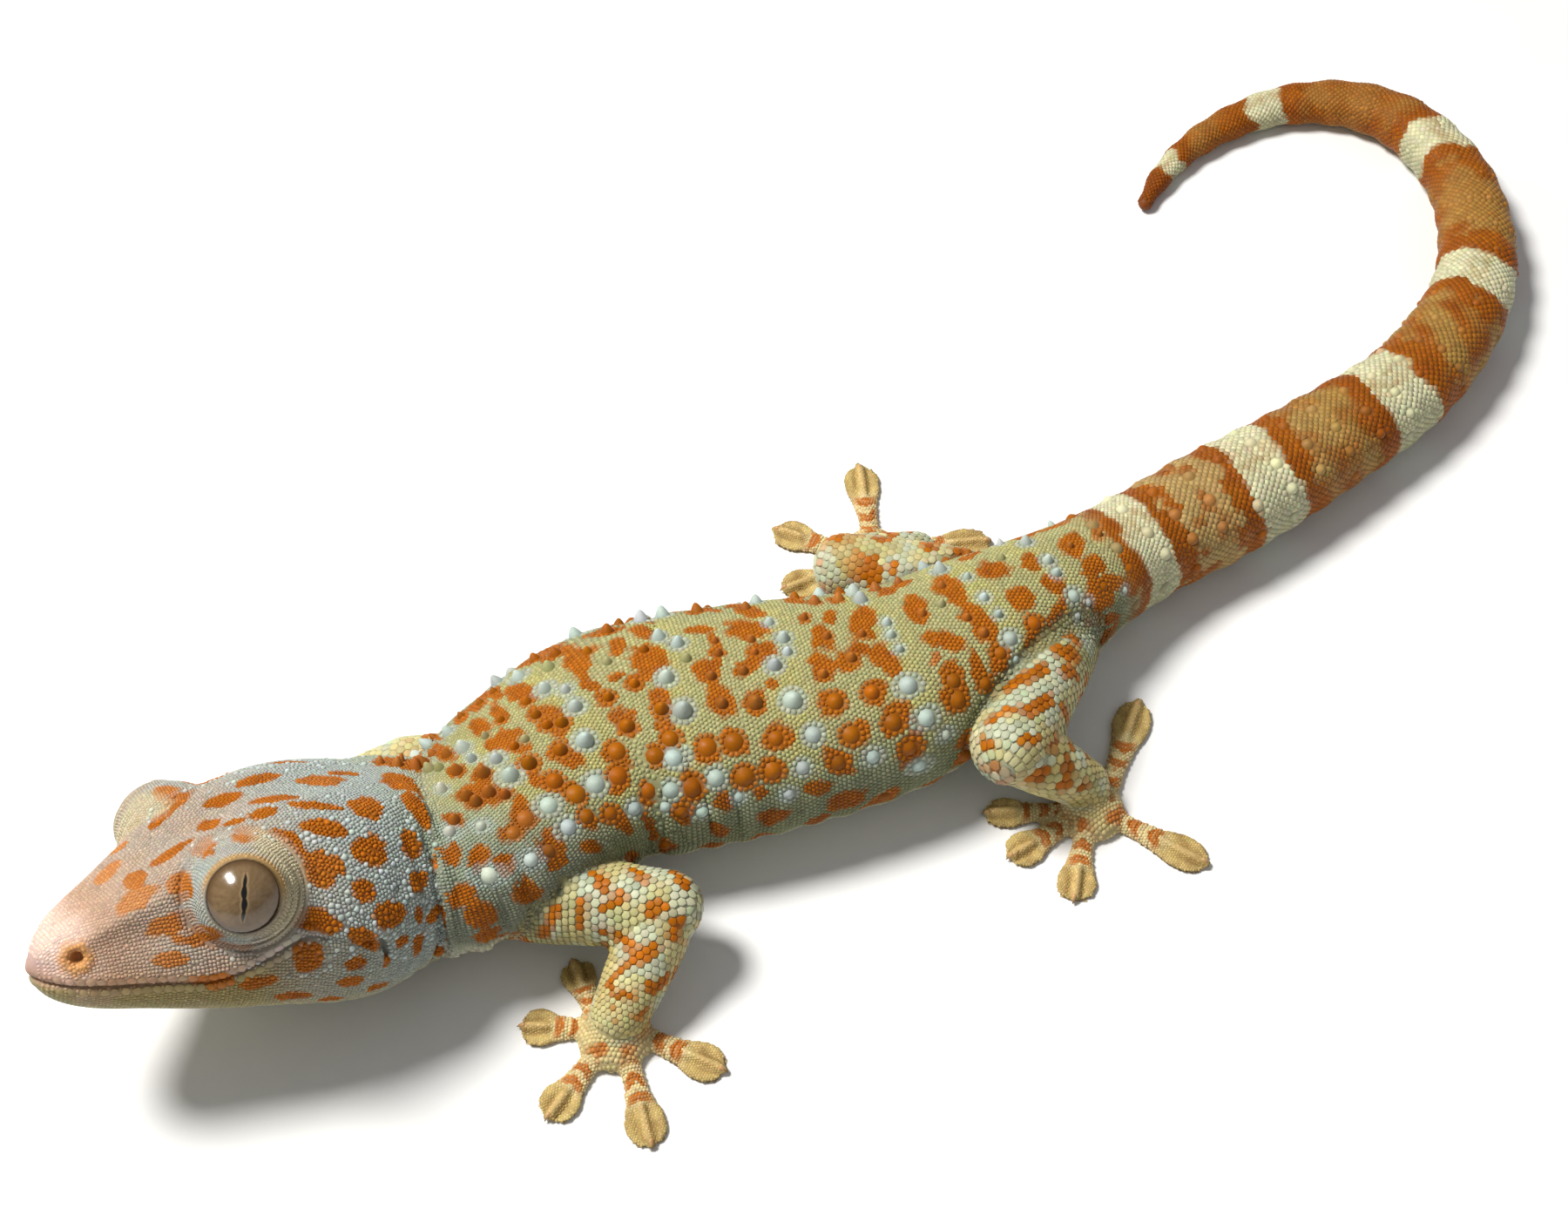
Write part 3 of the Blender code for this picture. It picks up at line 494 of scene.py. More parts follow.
# ---- where the trunk's and limbs' markings lie --------------------------------------------
# orange spots of neck, trunk and tail root: station, share round, half lengths, tilt, paleness
BODY_SPOTS = (
    (4.1, -0.112, 2.90, 1.60, -37, 0), (9.2, -0.186, 1.80, 0.90, 10, 0),
    (19.6, -0.296, 1.80, 0.80, -75, 0), (21.0, -0.284, 1.73, 0.80, -90, 0), (23.5, -0.285, 2.05, 0.80, -78, 0), (21.5, -0.167, 2.21, 0.62, -82, 0),
    (19.1, -0.166, 2.19, 0.90, -80, 0), (24.9, -0.182, 2.43, 1.37, -89, 0), (24.9, -0.022, 2.59, 1.76, -75, 0), (24.0, -0.091, 1.04, 0.73, -51, 0),
    (20.1, -0.040, 2.10, 1.37, 89, 0), (18.1, -0.075, 1.17, 0.86, -89, 0), (13.2, -0.180, 2.74, 1.10, 88, 0), (14.7, 0.000, 1.79, 1.07, -59, 0),
    (12.7, -0.058, 1.19, 0.86, -89, 0), (12.2, 0.058, 1.78, 1.06, 79, 0), (13.7, 0.075, 1.85, 0.81, -80, 0), (14.7, 0.107, 0.98, 0.72, -45, 0),
    (9.3, 0.137, 1.18, 0.85, -56, 0), (14.7, 0.180, 1.93, 0.71, -62, 0), (13.2, 0.234, 0.78, 0.80, -39, 0), (18.6, 0.091, 2.15, 0.82, -75, 0),
    (23.0, 0.107, 1.89, 1.17, 68, 0), (22.5, 0.075, 1.35, 0.86, -21, 0), (19.6, 0.166, 1.35, 0.99, -39, 0), (20.6, 0.208, 1.56, 1.40, -2, 0),
    (31.3, 0.000, 1.37, 1.31, 1, 0), (32.3, 0.093, 2.27, 1.86, 25, 0), (31.3, -0.184, 2.17, 1.10, -87, 0), (30.8, -0.124, 1.28, 0.67, -83, 0),
    (30.8, -0.059, 1.49, 0.74, 70, 0), (27.9, 0.183, 2.18, 1.46, 51, 0), (25.9, 0.249, 1.59, 1.27, -28, 0), (36.2, 0.213, 1.55, 1.46, 30, 0),
    (29.3, 0.324, 1.93, 1.56, -4, 0), (19.6, 0.308, 1.40, 1.16, -51, 0), (23.5, 0.355, 2.57, 0.80, 71, 0), (18.1, 0.387, 1.35, 0.80, 58, 0),
    (15.2, 0.308, 1.76, 0.92, 89, 0), (14.7, 0.365, 1.18, 0.80, 78, 0), (27.4, 0.437, 2.68, 0.94, 77, 0), (35.2, -0.022, 1.59, 1.06, 76, 0),
    (37.7, -0.094, 2.85, 2.14, 81, 0), (33.7, -0.059, 0.98, 0.62, -12, 0), (37.7, 0.060, 2.36, 1.22, 90, 0), (37.7, 0.171, 1.27, 0.97, 88, 0),
    (37.7, 0.126, 1.22, 0.85, 2, 0), (9.8, 0.284, 1.59, 0.80, -69, 0), (11.3, 0.319, 1.28, 0.80, 89, 0), (1.0, 0.377, 1.60, 0.80, -64, 0),
    (7.8, 0.259, 1.65, 0.80, -70, 0), (11.8, 0.433, 1.86, 0.97, 89, 0), (7.4, 0.400, 1.81, 0.80, -71, 0), (35.7, -0.351, 0.97, 0.80, 0, 0),
    (37.7, -0.228, 2.01, 1.10, 72, 0), (34.7, -0.185, 1.59, 0.96, -84, 0), (44.5, -0.186, 1.59, 0.82, 13, 0), (46.5, -0.317, 1.89, 0.80, 52, 0),
    (51.3, -0.266, 2.62, 1.35, 52, 0), (50.4, -0.156, 2.59, 1.69, 18, 0), (51.3, -0.059, 1.90, 1.46, 19, 0), (48.4, 0.000, 1.37, 1.07, -40, 0),
    (49.9, -0.022, 1.20, 0.84, -57, 0), (46.0, -0.126, 1.37, 0.62, 80, 0), (46.0, -0.077, 1.08, 0.91, 56, 0), (45.5, -0.042, 1.13, 0.81, -48, 0),
    (44.0, -0.022, 1.88, 1.51, 70, 0), (44.5, 0.042, 1.13, 0.81, -49, 0), (45.0, 0.094, 2.25, 1.56, -90, 0), (48.9, 0.109, 1.82, 1.44, -58, 0),
    (51.3, 0.059, 0.76, 0.62, 39, 0), (45.5, 0.214, 1.57, 1.52, 32, 0), (42.1, 0.228, 1.58, 1.50, 29, 0), (39.6, 0.317, 2.05, 1.26, 71, 0),
    (46.0, 0.317, 1.38, 0.99, 37, 0), (47.9, 0.375, 0.98, 0.80, 11, 0), (49.4, 0.316, 1.69, 1.27, 63, 0), (50.8, 0.227, 1.85, 1.73, 50, 0),
    (43.0, 0.375, 1.53, 1.11, 51, 0), (38.1, 0.386, 1.60, 0.88, 79, 0), (54.3, 0.397, 1.60, 0.98, 17, 0), (48.9, 0.469, 1.84, 1.43, -8, 0),
    (57.7, 0.482, 2.16, 1.50, -1, 0), (42.1, 0.482, 1.44, 1.03, 49, 0), (57.7, 0.154, 1.57, 1.56, 88, 0), (59.6, 0.264, 1.56, 1.35, -7, 0),
    (57.2, 0.338, 2.30, 1.35, 51, 0), (57.7, 0.041, 2.03, 1.55, -84, 0), (57.7, -0.169, 1.19, 0.86, -58, 0), (59.2, -0.076, 2.11, 1.33, -79, 0),
    (58.2, -0.277, 1.04, 0.80, 35, 0), (61.1, -0.154, 1.52, 0.90, -73, 0), (61.6, 0.022, 1.98, 1.37, -31, 0), (63.1, 0.000, 1.58, 1.06, 14, 0),
    (63.1, -0.250, 1.42, 1.23, -34, 0), (65.0, -0.107, 2.94, 1.84, -58, 0), (65.0, -0.058, 1.37, 0.97, 89, 0), (65.5, 0.058, 2.69, 1.29, 79, 0),
    (64.5, 0.022, 1.14, 0.81, -49, 0), (63.1, 0.153, 1.65, 1.23, -57, 0), (64.5, 0.249, 1.78, 1.61, -63, 0), (63.6, 0.275, 1.32, 0.95, -78, 0),
    (65.0, 0.359, 2.25, 1.50, -67, 0), (72.8, -0.104, 1.93, 1.43, -65, 0), (72.3, -0.056, 1.60, 1.26, 89, 0), (72.8, 0.073, 2.34, 1.27, 42, 0),
    (78.2, -0.103, 3.08, 1.49, -83, 0), (78.2, 0.072, 3.03, 1.33, 83, 0), (71.4, 0.204, 1.89, 1.51, -80, 0), (70.9, 0.269, 1.88, 1.81, 35, 0),
    (70.9, 0.120, 0.98, 0.65, -39, 0.5), (74.8, 0.228, 2.40, 0.94, -84, 0), (77.7, 0.227, 1.88, 1.31, -74, 0), (84.6, -0.100, 2.02, 1.89, 45, 0),
    (89.5, -0.053, 2.01, 0.99, -58, 0), (84.6, 0.070, 1.79, 1.60, 12, 0), (84.1, 0.184, 1.37, 0.74, 6, 0), (83.1, 0.224, 1.78, 0.93, -37, 0),
    (71.4, -0.230, 1.38, 1.19, -19, 0), (74.3, -0.242, 1.84, 0.80, -5, 0), (85.1, -0.260, 2.26, 0.80, -20, 0), (96.3, -0.036, 2.46, 1.48, -37, 0),
    (98.2, -0.236, 2.75, 0.80, 2, 0), (100.7, -0.035, 1.61, 0.87, -45, 0.5), (103.1, 0.019, 3.12, 1.44, -68, 0), (102.6, 0.185, 2.61, 1.82, 79, 0),
    (96.3, 0.122, 2.20, 1.48, -2, 0), (95.8, 0.213, 2.64, 1.31, 20, 0), (94.3, 0.263, 2.34, 1.55, 25, 0), (94.3, 0.376, 3.75, 0.82, 27, 0),
    (102.2, 0.334, 3.81, 1.40, 30, 0), (89.5, 0.083, 1.86, 1.29, 52, 0), (87.5, 0.207, 2.39, 0.89, -23, 0),
)
# their large tubercles: station, share round, base radius, kind (0 orange, 1 pale, 3 sage)
BODY_CONES = (
    (2.3, -0.094, 0.60, 0), (3.6, -0.080, 0.75, 0), (4.3, -0.138, 0.50, 0), (5.6, -0.112, 0.95, 0), (6.9, -0.172, 0.65, 0),
    (9.6, -0.165, 0.80, 0), (11.9, -0.205, 0.60, 0),
    (19.6, -0.296, 0.54, 0), (21.5, -0.285, 0.54, 0), (23.5, -0.285, 0.54, 0), (21.0, -0.137, 0.54, 0), (18.6, -0.122, 0.54, 3), (24.5, -0.138, 0.65, 0),
    (24.0, -0.075, 0.75, 0), (24.0, -0.022, 0.75, 0), (25.4, 0.000, 0.86, 0), (19.6, -0.022, 0.65, 0), (21.0, -0.022, 0.65, 3), (13.2, -0.152, 0.75, 0),
    (12.7, -0.221, 0.65, 0), (14.7, 0.000, 0.97, 0), (12.7, -0.058, 0.86, 0), (9.8, -0.122, 0.75, 3), (11.3, -0.106, 0.65, 3), (11.8, 0.058, 0.86, 0),
    (12.2, 0.091, 0.86, 0), (13.7, 0.075, 0.97, 0), (14.7, 0.107, 0.75, 0), (9.3, 0.137, 0.75, 0), (14.7, 0.208, 0.86, 0), (13.2, 0.234, 0.65, 0),
    (19.1, 0.058, 1.08, 0), (23.0, 0.075, 0.97, 0), (19.6, 0.152, 0.97, 0), (20.6, 0.221, 0.97, 0), (31.8, 0.000, 0.75, 0), (32.3, 0.109, 0.97, 0),
    (32.3, -0.198, 0.65, 0), (28.4, 0.169, 0.97, 0), (33.3, -0.125, 0.65, 3), (26.4, 0.236, 0.97, 0), (35.7, 0.213, 0.86, 0), (29.8, 0.313, 0.75, 0),
    (19.6, 0.296, 0.75, 0), (23.0, 0.321, 0.65, 0), (14.7, 0.331, 0.65, 0), (35.2, -0.022, 0.75, 0), (37.2, -0.141, 0.65, 0), (37.7, 0.077, 0.97, 0),
    (38.1, 0.171, 0.86, 0), (35.7, -0.362, 0.65, 0), (46.9, -0.386, 0.65, 0), (51.3, -0.279, 0.75, 0), (50.4, -0.109, 0.65, 0), (50.4, -0.059, 0.54, 0),
    (48.4, 0.000, 0.75, 0), (46.0, -0.126, 0.54, 0), (46.0, -0.077, 0.65, 0), (44.5, 0.000, 0.75, 0), (45.0, 0.094, 0.86, 0), (48.9, 0.109, 1.08, 0),
    (45.5, 0.214, 0.97, 0), (42.1, 0.214, 0.97, 0), (39.6, 0.317, 0.97, 0), (46.0, 0.317, 0.97, 0), (49.4, 0.316, 0.86, 0), (50.4, 0.227, 0.75, 0),
    (38.1, 0.386, 0.65, 0), (58.2, 0.154, 0.97, 0), (59.2, 0.264, 0.86, 0), (57.7, 0.059, 0.75, 0), (59.6, -0.076, 0.65, 0), (61.6, 0.022, 0.75, 0),
    (64.0, -0.058, 0.65, 0), (62.6, 0.153, 0.86, 0), (64.0, 0.262, 0.86, 0), (65.0, 0.359, 0.75, 0), (72.8, -0.056, 0.65, 0), (77.7, -0.132, 0.65, 0),
    (77.2, 0.039, 0.65, 0), (77.7, 0.118, 0.75, 0), (71.4, 0.217, 0.75, 0), (70.9, 0.282, 0.86, 0), (74.8, 0.279, 0.65, 0), (78.2, 0.214, 0.65, 0),
    (84.1, 0.184, 0.75, 0), (75.8, -0.056, 0.65, 3), (87.0, -0.141, 0.54, 3), (57.7, -0.169, 0.54, 0), (95.8, -0.036, 0.54, 0), (100.7, -0.019, 0.43, 0),
    (101.2, 0.223, 0.54, 0), (95.8, 0.225, 0.54, 0), (57.2, 0.338, 0.75, 0), (17.0, -0.270, 0.75, 1), (26.4, -0.262, 0.86, 1), (26.9, -0.139, 0.86, 1),
    (28.4, -0.092, 0.65, 1), (27.9, -0.022, 0.97, 1), (15.7, -0.137, 0.97, 1), (15.2, -0.075, 0.65, 1), (17.1, -0.022, 0.86, 1), (16.6, 0.058, 1.18, 1),
    (25.9, 0.092, 1.18, 1), (23.5, 0.222, 1.18, 1), (17.1, 0.208, 1.08, 1), (17.1, 0.296, 0.97, 1), (25.9, 0.345, 0.86, 1), (36.2, 0.363, 0.65, 1),
    (38.1, 0.228, 0.97, 1), (13.2, 0.331, 0.86, 1), (8.3, 0.180, 0.86, 1), (11.3, 0.180, 0.65, 1), (28.9, -0.211, 0.86, 3), (9.8, 0.343, 1.08, 1),
    (9.8, 0.000, 0.75, 1), (41.1, -0.329, 0.97, 1), (39.6, -0.186, 0.86, 1), (41.6, -0.141, 0.86, 1), (42.1, -0.077, 0.75, 3), (39.1, -0.023, 1.08, 1),
    (40.1, 0.094, 1.29, 1), (38.6, 0.228, 0.97, 1), (37.2, 0.316, 0.97, 1), (42.5, 0.305, 1.08, 1), (40.1, 0.398, 0.75, 1), (45.0, 0.375, 0.65, 1),
    (53.3, -0.170, 0.65, 1), (54.3, -0.093, 0.86, 1), (54.3, -0.041, 0.65, 1), (52.3, 0.000, 0.97, 1), (53.3, 0.125, 1.29, 1), (54.8, 0.239, 1.08, 1),
    (52.8, 0.327, 0.86, 1), (50.8, 0.397, 0.65, 1), (67.0, -0.221, 0.97, 1), (68.0, -0.074, 0.65, 1), (67.5, -0.022, 0.65, 1), (67.5, 0.040, 0.54, 1),
    (66.5, 0.166, 1.18, 1), (67.0, 0.285, 1.08, 1), (68.4, 0.368, 0.65, 1), (61.1, 0.349, 0.86, 1), (79.7, -0.227, 0.97, 1), (81.1, -0.116, 0.54, 1),
    (80.7, 0.000, 0.65, 1), (80.7, 0.087, 0.54, 1), (80.2, 0.187, 0.97, 1), (79.7, 0.265, 0.54, 1), (91.9, -0.178, 0.86, 1), (91.4, -0.020, 0.75, 1),
    (90.9, 0.053, 0.65, 1), (90.9, 0.179, 0.86, 1), (92.4, 0.241, 0.43, 1), (99.2, 0.309, 0.43, 1), (90.4, 0.267, 0.54, 1),
)
# orange streaks of the near limbs, each between two places, with its half width
LIMB_SPOTS = {
    "arm_left": (
        (-47.9, -41.2, 14.8, -47.6, -43.3, 14.8, 0.86), (-43.5, -41.4, 14.2, -43.4, -41.8, 14.3, 0.65),
        (-43.2, -43.2, 14.6, -43.2, -43.2, 14.6, 0.65), (-39, -42.5, 12.9, -38.4, -44.8, 13.7, 0.97),
        (-47.9, -45.2, 14.2, -46, -44.7, 14.6, 0.75), (-50.5, -43.6, 14.4, -51.4, -45.9, 12.1, 0.65),
        (-53.4, -43.3, 13.8, -55.9, -44.7, 9.7, 0.75), (-49.5, -46.8, 11.6, -49.2, -47, 11.2, 0.75),
        (-43.6, -47.3, 13.7, -42, -47, 14.3, 0.97), (-40.6, -49.2, 12.5, -41, -50.1, 11.4, 0.97),
        (-47.1, -47.9, 10.8, -46.5, -49.1, 11, 0.86), (-45.7, -51, 10.8, -43.8, -50.6, 11.5, 0.97),
        (-48.7, -51.4, 9.1, -46.8, -51.1, 10.5, 0.75), (-45.1, -53.9, 8.2, -43.3, -53.2, 7.8, 0.97),
        (-49.9, -51.8, 8.2, -49.4, -53.6, 8.1, 0.65), (-49.4, -53.6, 8.1, -47.7, -54.2, 8.3, 0.65),
        (-50.4, -54.9, 7.1, -50.4, -54.9, 7.1, 0.43), (-50.1, -56.1, 6.1, -50.1, -56.1, 6.1, 0.43),
        (-47.7, -56, 6.3, -46.6, -55.7, 6.3, 0.65),
    ),
    "hand_left": (
        (-53.2, -57, 2.6, -52.5, -57, 2.8, 0.86), (-49.5, -58.2, 2.8, -48.7, -58.3, 2.6, 0.75),
        (-45.7, -56.4, 1.6, -44.8, -56.2, 0.9, 0.86), (-53.1, -50.7, 0.9, -53.5, -51.9, 1.2, 0.54),
    ),
    "leg_left": (
        (6.4, -31.5, 16.8, 11, -30.3, 17, 0.97), (14.8, -28.3, 16.2, 16.4, -28.5, 15.2, 1.18),
        (14.2, -30.9, 15.7, 15.7, -31.1, 14.3, 0.75), (17.8, -30.2, 11.5, 17.8, -30.2, 11.5, 0.65),
        (17.3, -25.4, 15.7, 17.6, -26.5, 15.2, 0.86), (7.3, -35.6, 17.3, 10.7, -34.7, 16.4, 0.86),
        (2.8, -35.3, 16.6, 4.9, -34.9, 17.2, 0.75), (12.6, -35.1, 14.7, 12.9, -35.6, 13, 0.75),
        (1.2, -37.5, 15.5, 1.6, -38.4, 15.8, 0.65), (5.6, -39.3, 17, 7.1, -39.4, 16.3, 0.65),
        (9, -39.7, 14.1, 10.5, -38.8, 13.6, 0.65), (13.2, -37.6, 10.3, 12.5, -39.2, 11.3, 0.54),
        (11.3, -40.9, 11.5, 10, -42.7, 8.8, 0.86), (6.3, -41.7, 11.7, 7.5, -42, 12.6, 0.97),
        (14.7, -39.3, 8.6, 14.7, -39.3, 8.6, 0.65), (12.9, -42.6, 7.6, 13.2, -42.6, 7.4, 0.65),
        (1.7, -40.7, 13.7, 1.7, -40.7, 13.7, 0.43),
    ),
    "foot_left": (
        (17.1, -41.4, 4.4, 16.9, -42.1, 3.1, 0.75), (16.3, -45.4, 2.7, 18.2, -44.3, 1.8, 0.86),
        (12.3, -45, 2.6, 12.3, -45, 2.6, 0.75), (9.7, -41.8, 1.3, 9.7, -41.8, 1.3, 0.75),
        (7.8, -44.1, 1.4, 8, -44, 1.4, 0.65),
    ),
}


# ---- markings ------------------------------------------------------------------------
def lin(r, g, b):
    c = np.array([r, g, b], float) / 255
    return np.where(c <= 0.04045, c / 12.92, ((c + 0.055) / 1.055) ** 2.4)


ORANGE = lin(174, 98, 3)
ORANGE_DEEP = lin(140, 70, 1)
ORANGE_PALE = lin(198, 136, 82)
SAGE = lin(170, 166, 116)
SAGE_YELLOW = lin(180, 173, 106)
# flank tones: the animal's own greyer flank, darkened further as painted shade of the sides turned from the key light
FLANK = lin(132, 137, 106)
FLANK_LOW = lin(122, 124, 90)
BELLY = lin(206, 202, 172)
PALE_BLUE = lin(182, 196, 190)
HEAD_BLUE = lin(160, 168, 162)
HEAD_WARM = lin(182, 156, 134)
SNOUT_PINK = lin(186, 150, 124)
SNOUT_TIP = lin(230, 202, 188)
LIP = lin(176, 136, 98)
JAW = lin(156, 139, 84)
THROAT = lin(168, 160, 120)
# grey of the neck's sides, darkened as painted shade of the sides turned from the key light
NECK_GREY = lin(130, 134, 116)
TAIL_WHITE = lin(206, 202, 164)
TAIL_TAN = lin(162, 124, 60)
TAIL_ORANGE = lin(156, 86, 5)
LIMB_CREAM = lin(194, 185, 134)
LIMB_YELLOW = lin(180, 162, 100)
TOE_CREAM = lin(214, 194, 142)
TOE_BAR = lin(182, 104, 26)
PAD = lin(204, 178, 112)
PAD_GROOVE_SHADE = lin(146, 114, 60)
PAD_RIDGE = lin(220, 186, 122)

PALE_ROWS = (17.0, 26.5, 39.5, 53.3, 67.0, 80.2, 90.4)
ORANGE_ROWS = (11.6, 14.6, 20.2, 23.3, 30.8, 35.2, 44.1, 48.7, 57.9, 62.5, 71.4, 75.8, 83.6, 87.0, 93.6, 97.2)
COLUMNS = (0.045, 0.14, 0.235, 0.33, 0.42)
MIDDLE = 0.0
TAIL_BANDS = ((106.6, 2.7), (127.8, 3.7), (153.5, 4.0), (181.5, 3.7), (212.5, 3.4), (242.6, 2.7), (262.2, 1.9))
# head and neck spots: station along, share round, half lengths along and across, tilt, paleness
HEAD_SPOTS = (
    (-25.6, -.23, .9, .9, 0, .1), (-22.5, -.14, 3.4, .9, -15, 0), (-26.1, .08, 2.3, .85, 0, 0),
    (-30.2, .11, 1.15, 1.05, 0, 0), (-31.0, .21, 2.0, 1.0, 0, .8), (-28.8, -.17, 1.0, .9, 0, .6),
    (-31.6, -.07, 1.6, .7, 0, .8), (-26.9, .23, 1.1, 1.1, 0, .7), (-15.5, -.20, 2.0, .8, 0, 0),
    (-12.6, -.07, 2.6, .75, 0, 0), (-7.4, -.15, 2.3, .6, 20, 0), (-17.5, -.04, 2.1, .75, 25, 0),
    (-13.2, .07, 2.5, .65, 25, 0), (-10.6, .15, 2.8, .65, 30, 0), (-20.9, .04, 1.2, 1.2, 0, 0),
    (-19.0, .11, 1.2, .5, 25, 0), (-15.9, .12, 1.5, .9, 10, 0), (-22.3, .24, 1.6, .8, 20, .4),
    (-15.8, .24, 2.0, 1.25, 60, 0), (-6.6, .01, 2.5, 1.15, 25, .15), (-3.0, -.03, 1.7, .5, 10, 0),
    (-11.1, .23, 2.5, 1.05, 28, 0), (-5.2, .19, 1.7, 1.85, 0, 0), (-7.4, .31, 2.0, 1.55, 20, 0),
    (-13.1, .33, 2.2, 1.7, -5, .1), (-9.5, .40, 1.15, 1.15, 0, 0), (-7.3, .47, 1.8, 1.35, 10, 0),
    (-2.6, .42, 1.15, 1.15, 0, 0), (-15.4, .45, 2.9, 1.15, 20, 0), (-10.3, .52, 2.1, .85, 45, 0),
    (-16.4, .55, 1.4, 1.8, 0, 0), (-28.7, .36, 2.5, 1.0, 0, .15), (-25.2, .46, 3.6, .7, 20, .2),
    (-29.8, .49, 1.5, .8, 10, .35), (-25.9, .60, 2.0, .9, 10, .1), (-21.5, .62, 1.7, .8, -10, 0),
    (-17.7, .70, 1.8, .8, 0, 0), (-11.4, .59, 1.3, .85, 0, 0), (-11.7, .65, 1.3, .7, 0, 0),
    (-13.3, .73, 1.3, .6, 0, 0), (-8.2, .70, 1.2, .6, 0, 0), (-2.1, .32, 1.3, 1.4, 0, 0),
    (1.0, .22, 1.3, 2.5, 0, 0), (2.3, .07, 2.6, 1.9, 35, 0), (-3.4, .50, .55, 1.0, 0, 0),
    (-1.0, .53, 1.0, .9, 0, 0), 
    (8.3, .47, 1.1, 1.7, 0, 0),
    (8.3, .56, .8, 1.2, 0, 0), (.5, .70, 1.2, 1.0, 0, 0), (3.4, .63, .8, 1.1, 0, 0),
    (-5.8, .56, .8, .7, 0, 0), (-3.4, .60, .8, 1.4, 0, 0), (9.8, .61, 1.2, .6, 0, 0),
    
    (-7.8, .60, .5, .6, 0, 0),
    (4.6, .33, .6, 1.7, 0, 0), (4.9, .50, .6, 1.5, 0, 0), (13.6, .56, 1.0, 1.3, 0, 0),
)


def seeded(n):
    return np.random.default_rng(n)


def both_sides(table, edge, tilted):
    """The places given, and their mirror images on the far side where none is given."""
    out = list(table)
    for q in table:
        if q[1] < edge:
            continue
        v, f = q[0] + 0.9 * math.sin(q[0] * 3.1), -q[1] + 0.008 * math.cos(q[0] * 5.3)
        if any(math.hypot(v - o[0], (f - o[1]) * 46) < 2.7 for o in table if o[1] < 0):
            continue
        out.append((v, f, q[2], q[3], -q[4]) + q[5:] if tilted else (v, f) + q[2:])
    return out


def fill_rows(spots, cones):
    """Rows of the flanks under the folded limbs and low on the far side, as on the rest of them."""
    rng = seeded(41)
    more_spots, more_cones = [], []
    for v, pale in [(v, 1) for v in PALE_ROWS] + [(v, 0) for v in ORANGE_ROWS]:
        for side in (1, -1):
            for c in (0.26, 0.345, 0.43, 0.51):
                jit = rng.normal(0, 1, 3)
                vv, f = v + 0.4 * jit[0] - 1.6 * c, side * (c + 0.008 * jit[1])
                if not (64 < vv < 94 or 20 < vv < 98 and (side < 0 or c > 0.5)):
                    continue
                if side > 0 and c > 0.5 and pale:
                    continue
                if any(math.hypot(vv - o[0], (f - o[1]) * 46) < 3.6 for o in list(spots) + list(cones)):
                    continue
                r = 0.80 * (1 + 0.1 * jit[2])
                more_cones.append((vv, f, r * (1.1 if pale else 1.0), pale))
                if not pale:
                    more_spots.append((vv, f, 1.55, 1.45, 0, 0))
    return list(spots) + more_spots, list(cones) + more_cones


SPOTS, CONES = fill_rows(both_sides(BODY_SPOTS, 0.245, True), both_sides(BODY_CONES, 0.245, False))
# the far shoulder's own, where the near side's are hidden by the arm
for far_v, far_f in ((30.3, -0.262), (30.9, -0.425), (34.4, -0.286), (34.2, -0.432), (37.0, -0.395)):
    SPOTS.append((far_v, far_f, 1.5, 1.25, 0.4 * math.sin(far_v * 5), 0))
    CONES.append((far_v, far_f, 0.84, 0))
CONES.extend([(32.5, -0.352, 0.86, 1), (37.4, -0.452, 0.86, 1), (27.2, -0.385, 0.86, 1)])


def trunk_tubercles():
    """Station, share round, base radius, height and kind of each large tubercle."""
    rng = seeded(41)
    out = []
    for v, f, r, kind in CONES:
        top = 1 - smooth(0.08, 0.20, f) if f > 0 else 1 - smooth(0.34, 0.42, -f)
        r = r * {0: 1.0 + 0.30 * (1 - top), 1: 1.04, 3: 1.0}[kind]
        tall = max(r, 0.62) * ((0.50 if kind == 1 else 0.42) + 0.70 * top) + 0.12 * top + (0.25 if v < 16 and abs(f) < 0.2 else 0.0)
        if kind == 0 and v > 40 and -0.30 < f < 0.13:
            kind = 4
        out.append((v, f, max(r, 0.5), tall * (1 + 0.06 * rng.normal()), kind))
    # whorls of the tail
    v = 101.5
    while v < 226:
        small = 1 - 0.55 * smooth(104, 226, v)
        for side in (1, -1):
            for c in (0.10, 0.27, 0.46):
                jit = rng.normal(0, 1, 2)
                if rng.random() < 0.12:
                    continue
                out.append((v + 0.3 * jit[0], MIDDLE + side * c + 0.008 * jit[1], 0.90 * small, 0.52 * small, 2))
        v += 5.6
    return np.array(out)


TUBERCLES = trunk_tubercles()


def hashed_one(a, b):
    """A steady number from 0 to 1 for a pair of numbers."""
    x = math.sin(a * 12.9898 + b * 78.233) * 43758.5453
    return x - math.floor(x)


def spot_mask(v, w, half, table, wobble, soft=0.10, grow=(1.08, 1.20, 0.35)):
    """How far inside an oval spot each point lies, and the paleness of that spot."""
    best = np.zeros(len(v))
    pale = np.zeros(len(v))
    for v0, f0, ra, rb, tilt, tone in table:
        near = (np.abs(v - v0) < 6) & (np.abs(w - f0 * half) < 7)
        if not near.any():
            continue
        ra, rb = ra * grow[0], rb * (grow[1] + grow[2] * (abs(f0) < 0.12))
        dv, dw = (v[near] - v0), w[near] - f0 * half[near]
        t = math.radians(tilt)
        x, y = dv * math.cos(t) + dw * math.sin(t), -dv * math.sin(t) + dw * math.cos(t)
        e = np.sqrt((x / ra) ** 2 + (y / rb) ** 2) + wobble[near]
        m = 1 - smooth(1 - soft, 1 + soft, e)
        idx = np.where(near)[0]
        more = m > best[idx]
        best[idx[more]] = m[more]
        pale[idx[more]] = tone
    return best, pale


def mix(a, b, t):
    t = np.asarray(t, float)[:, None]
    return a * (1 - t) + b * t


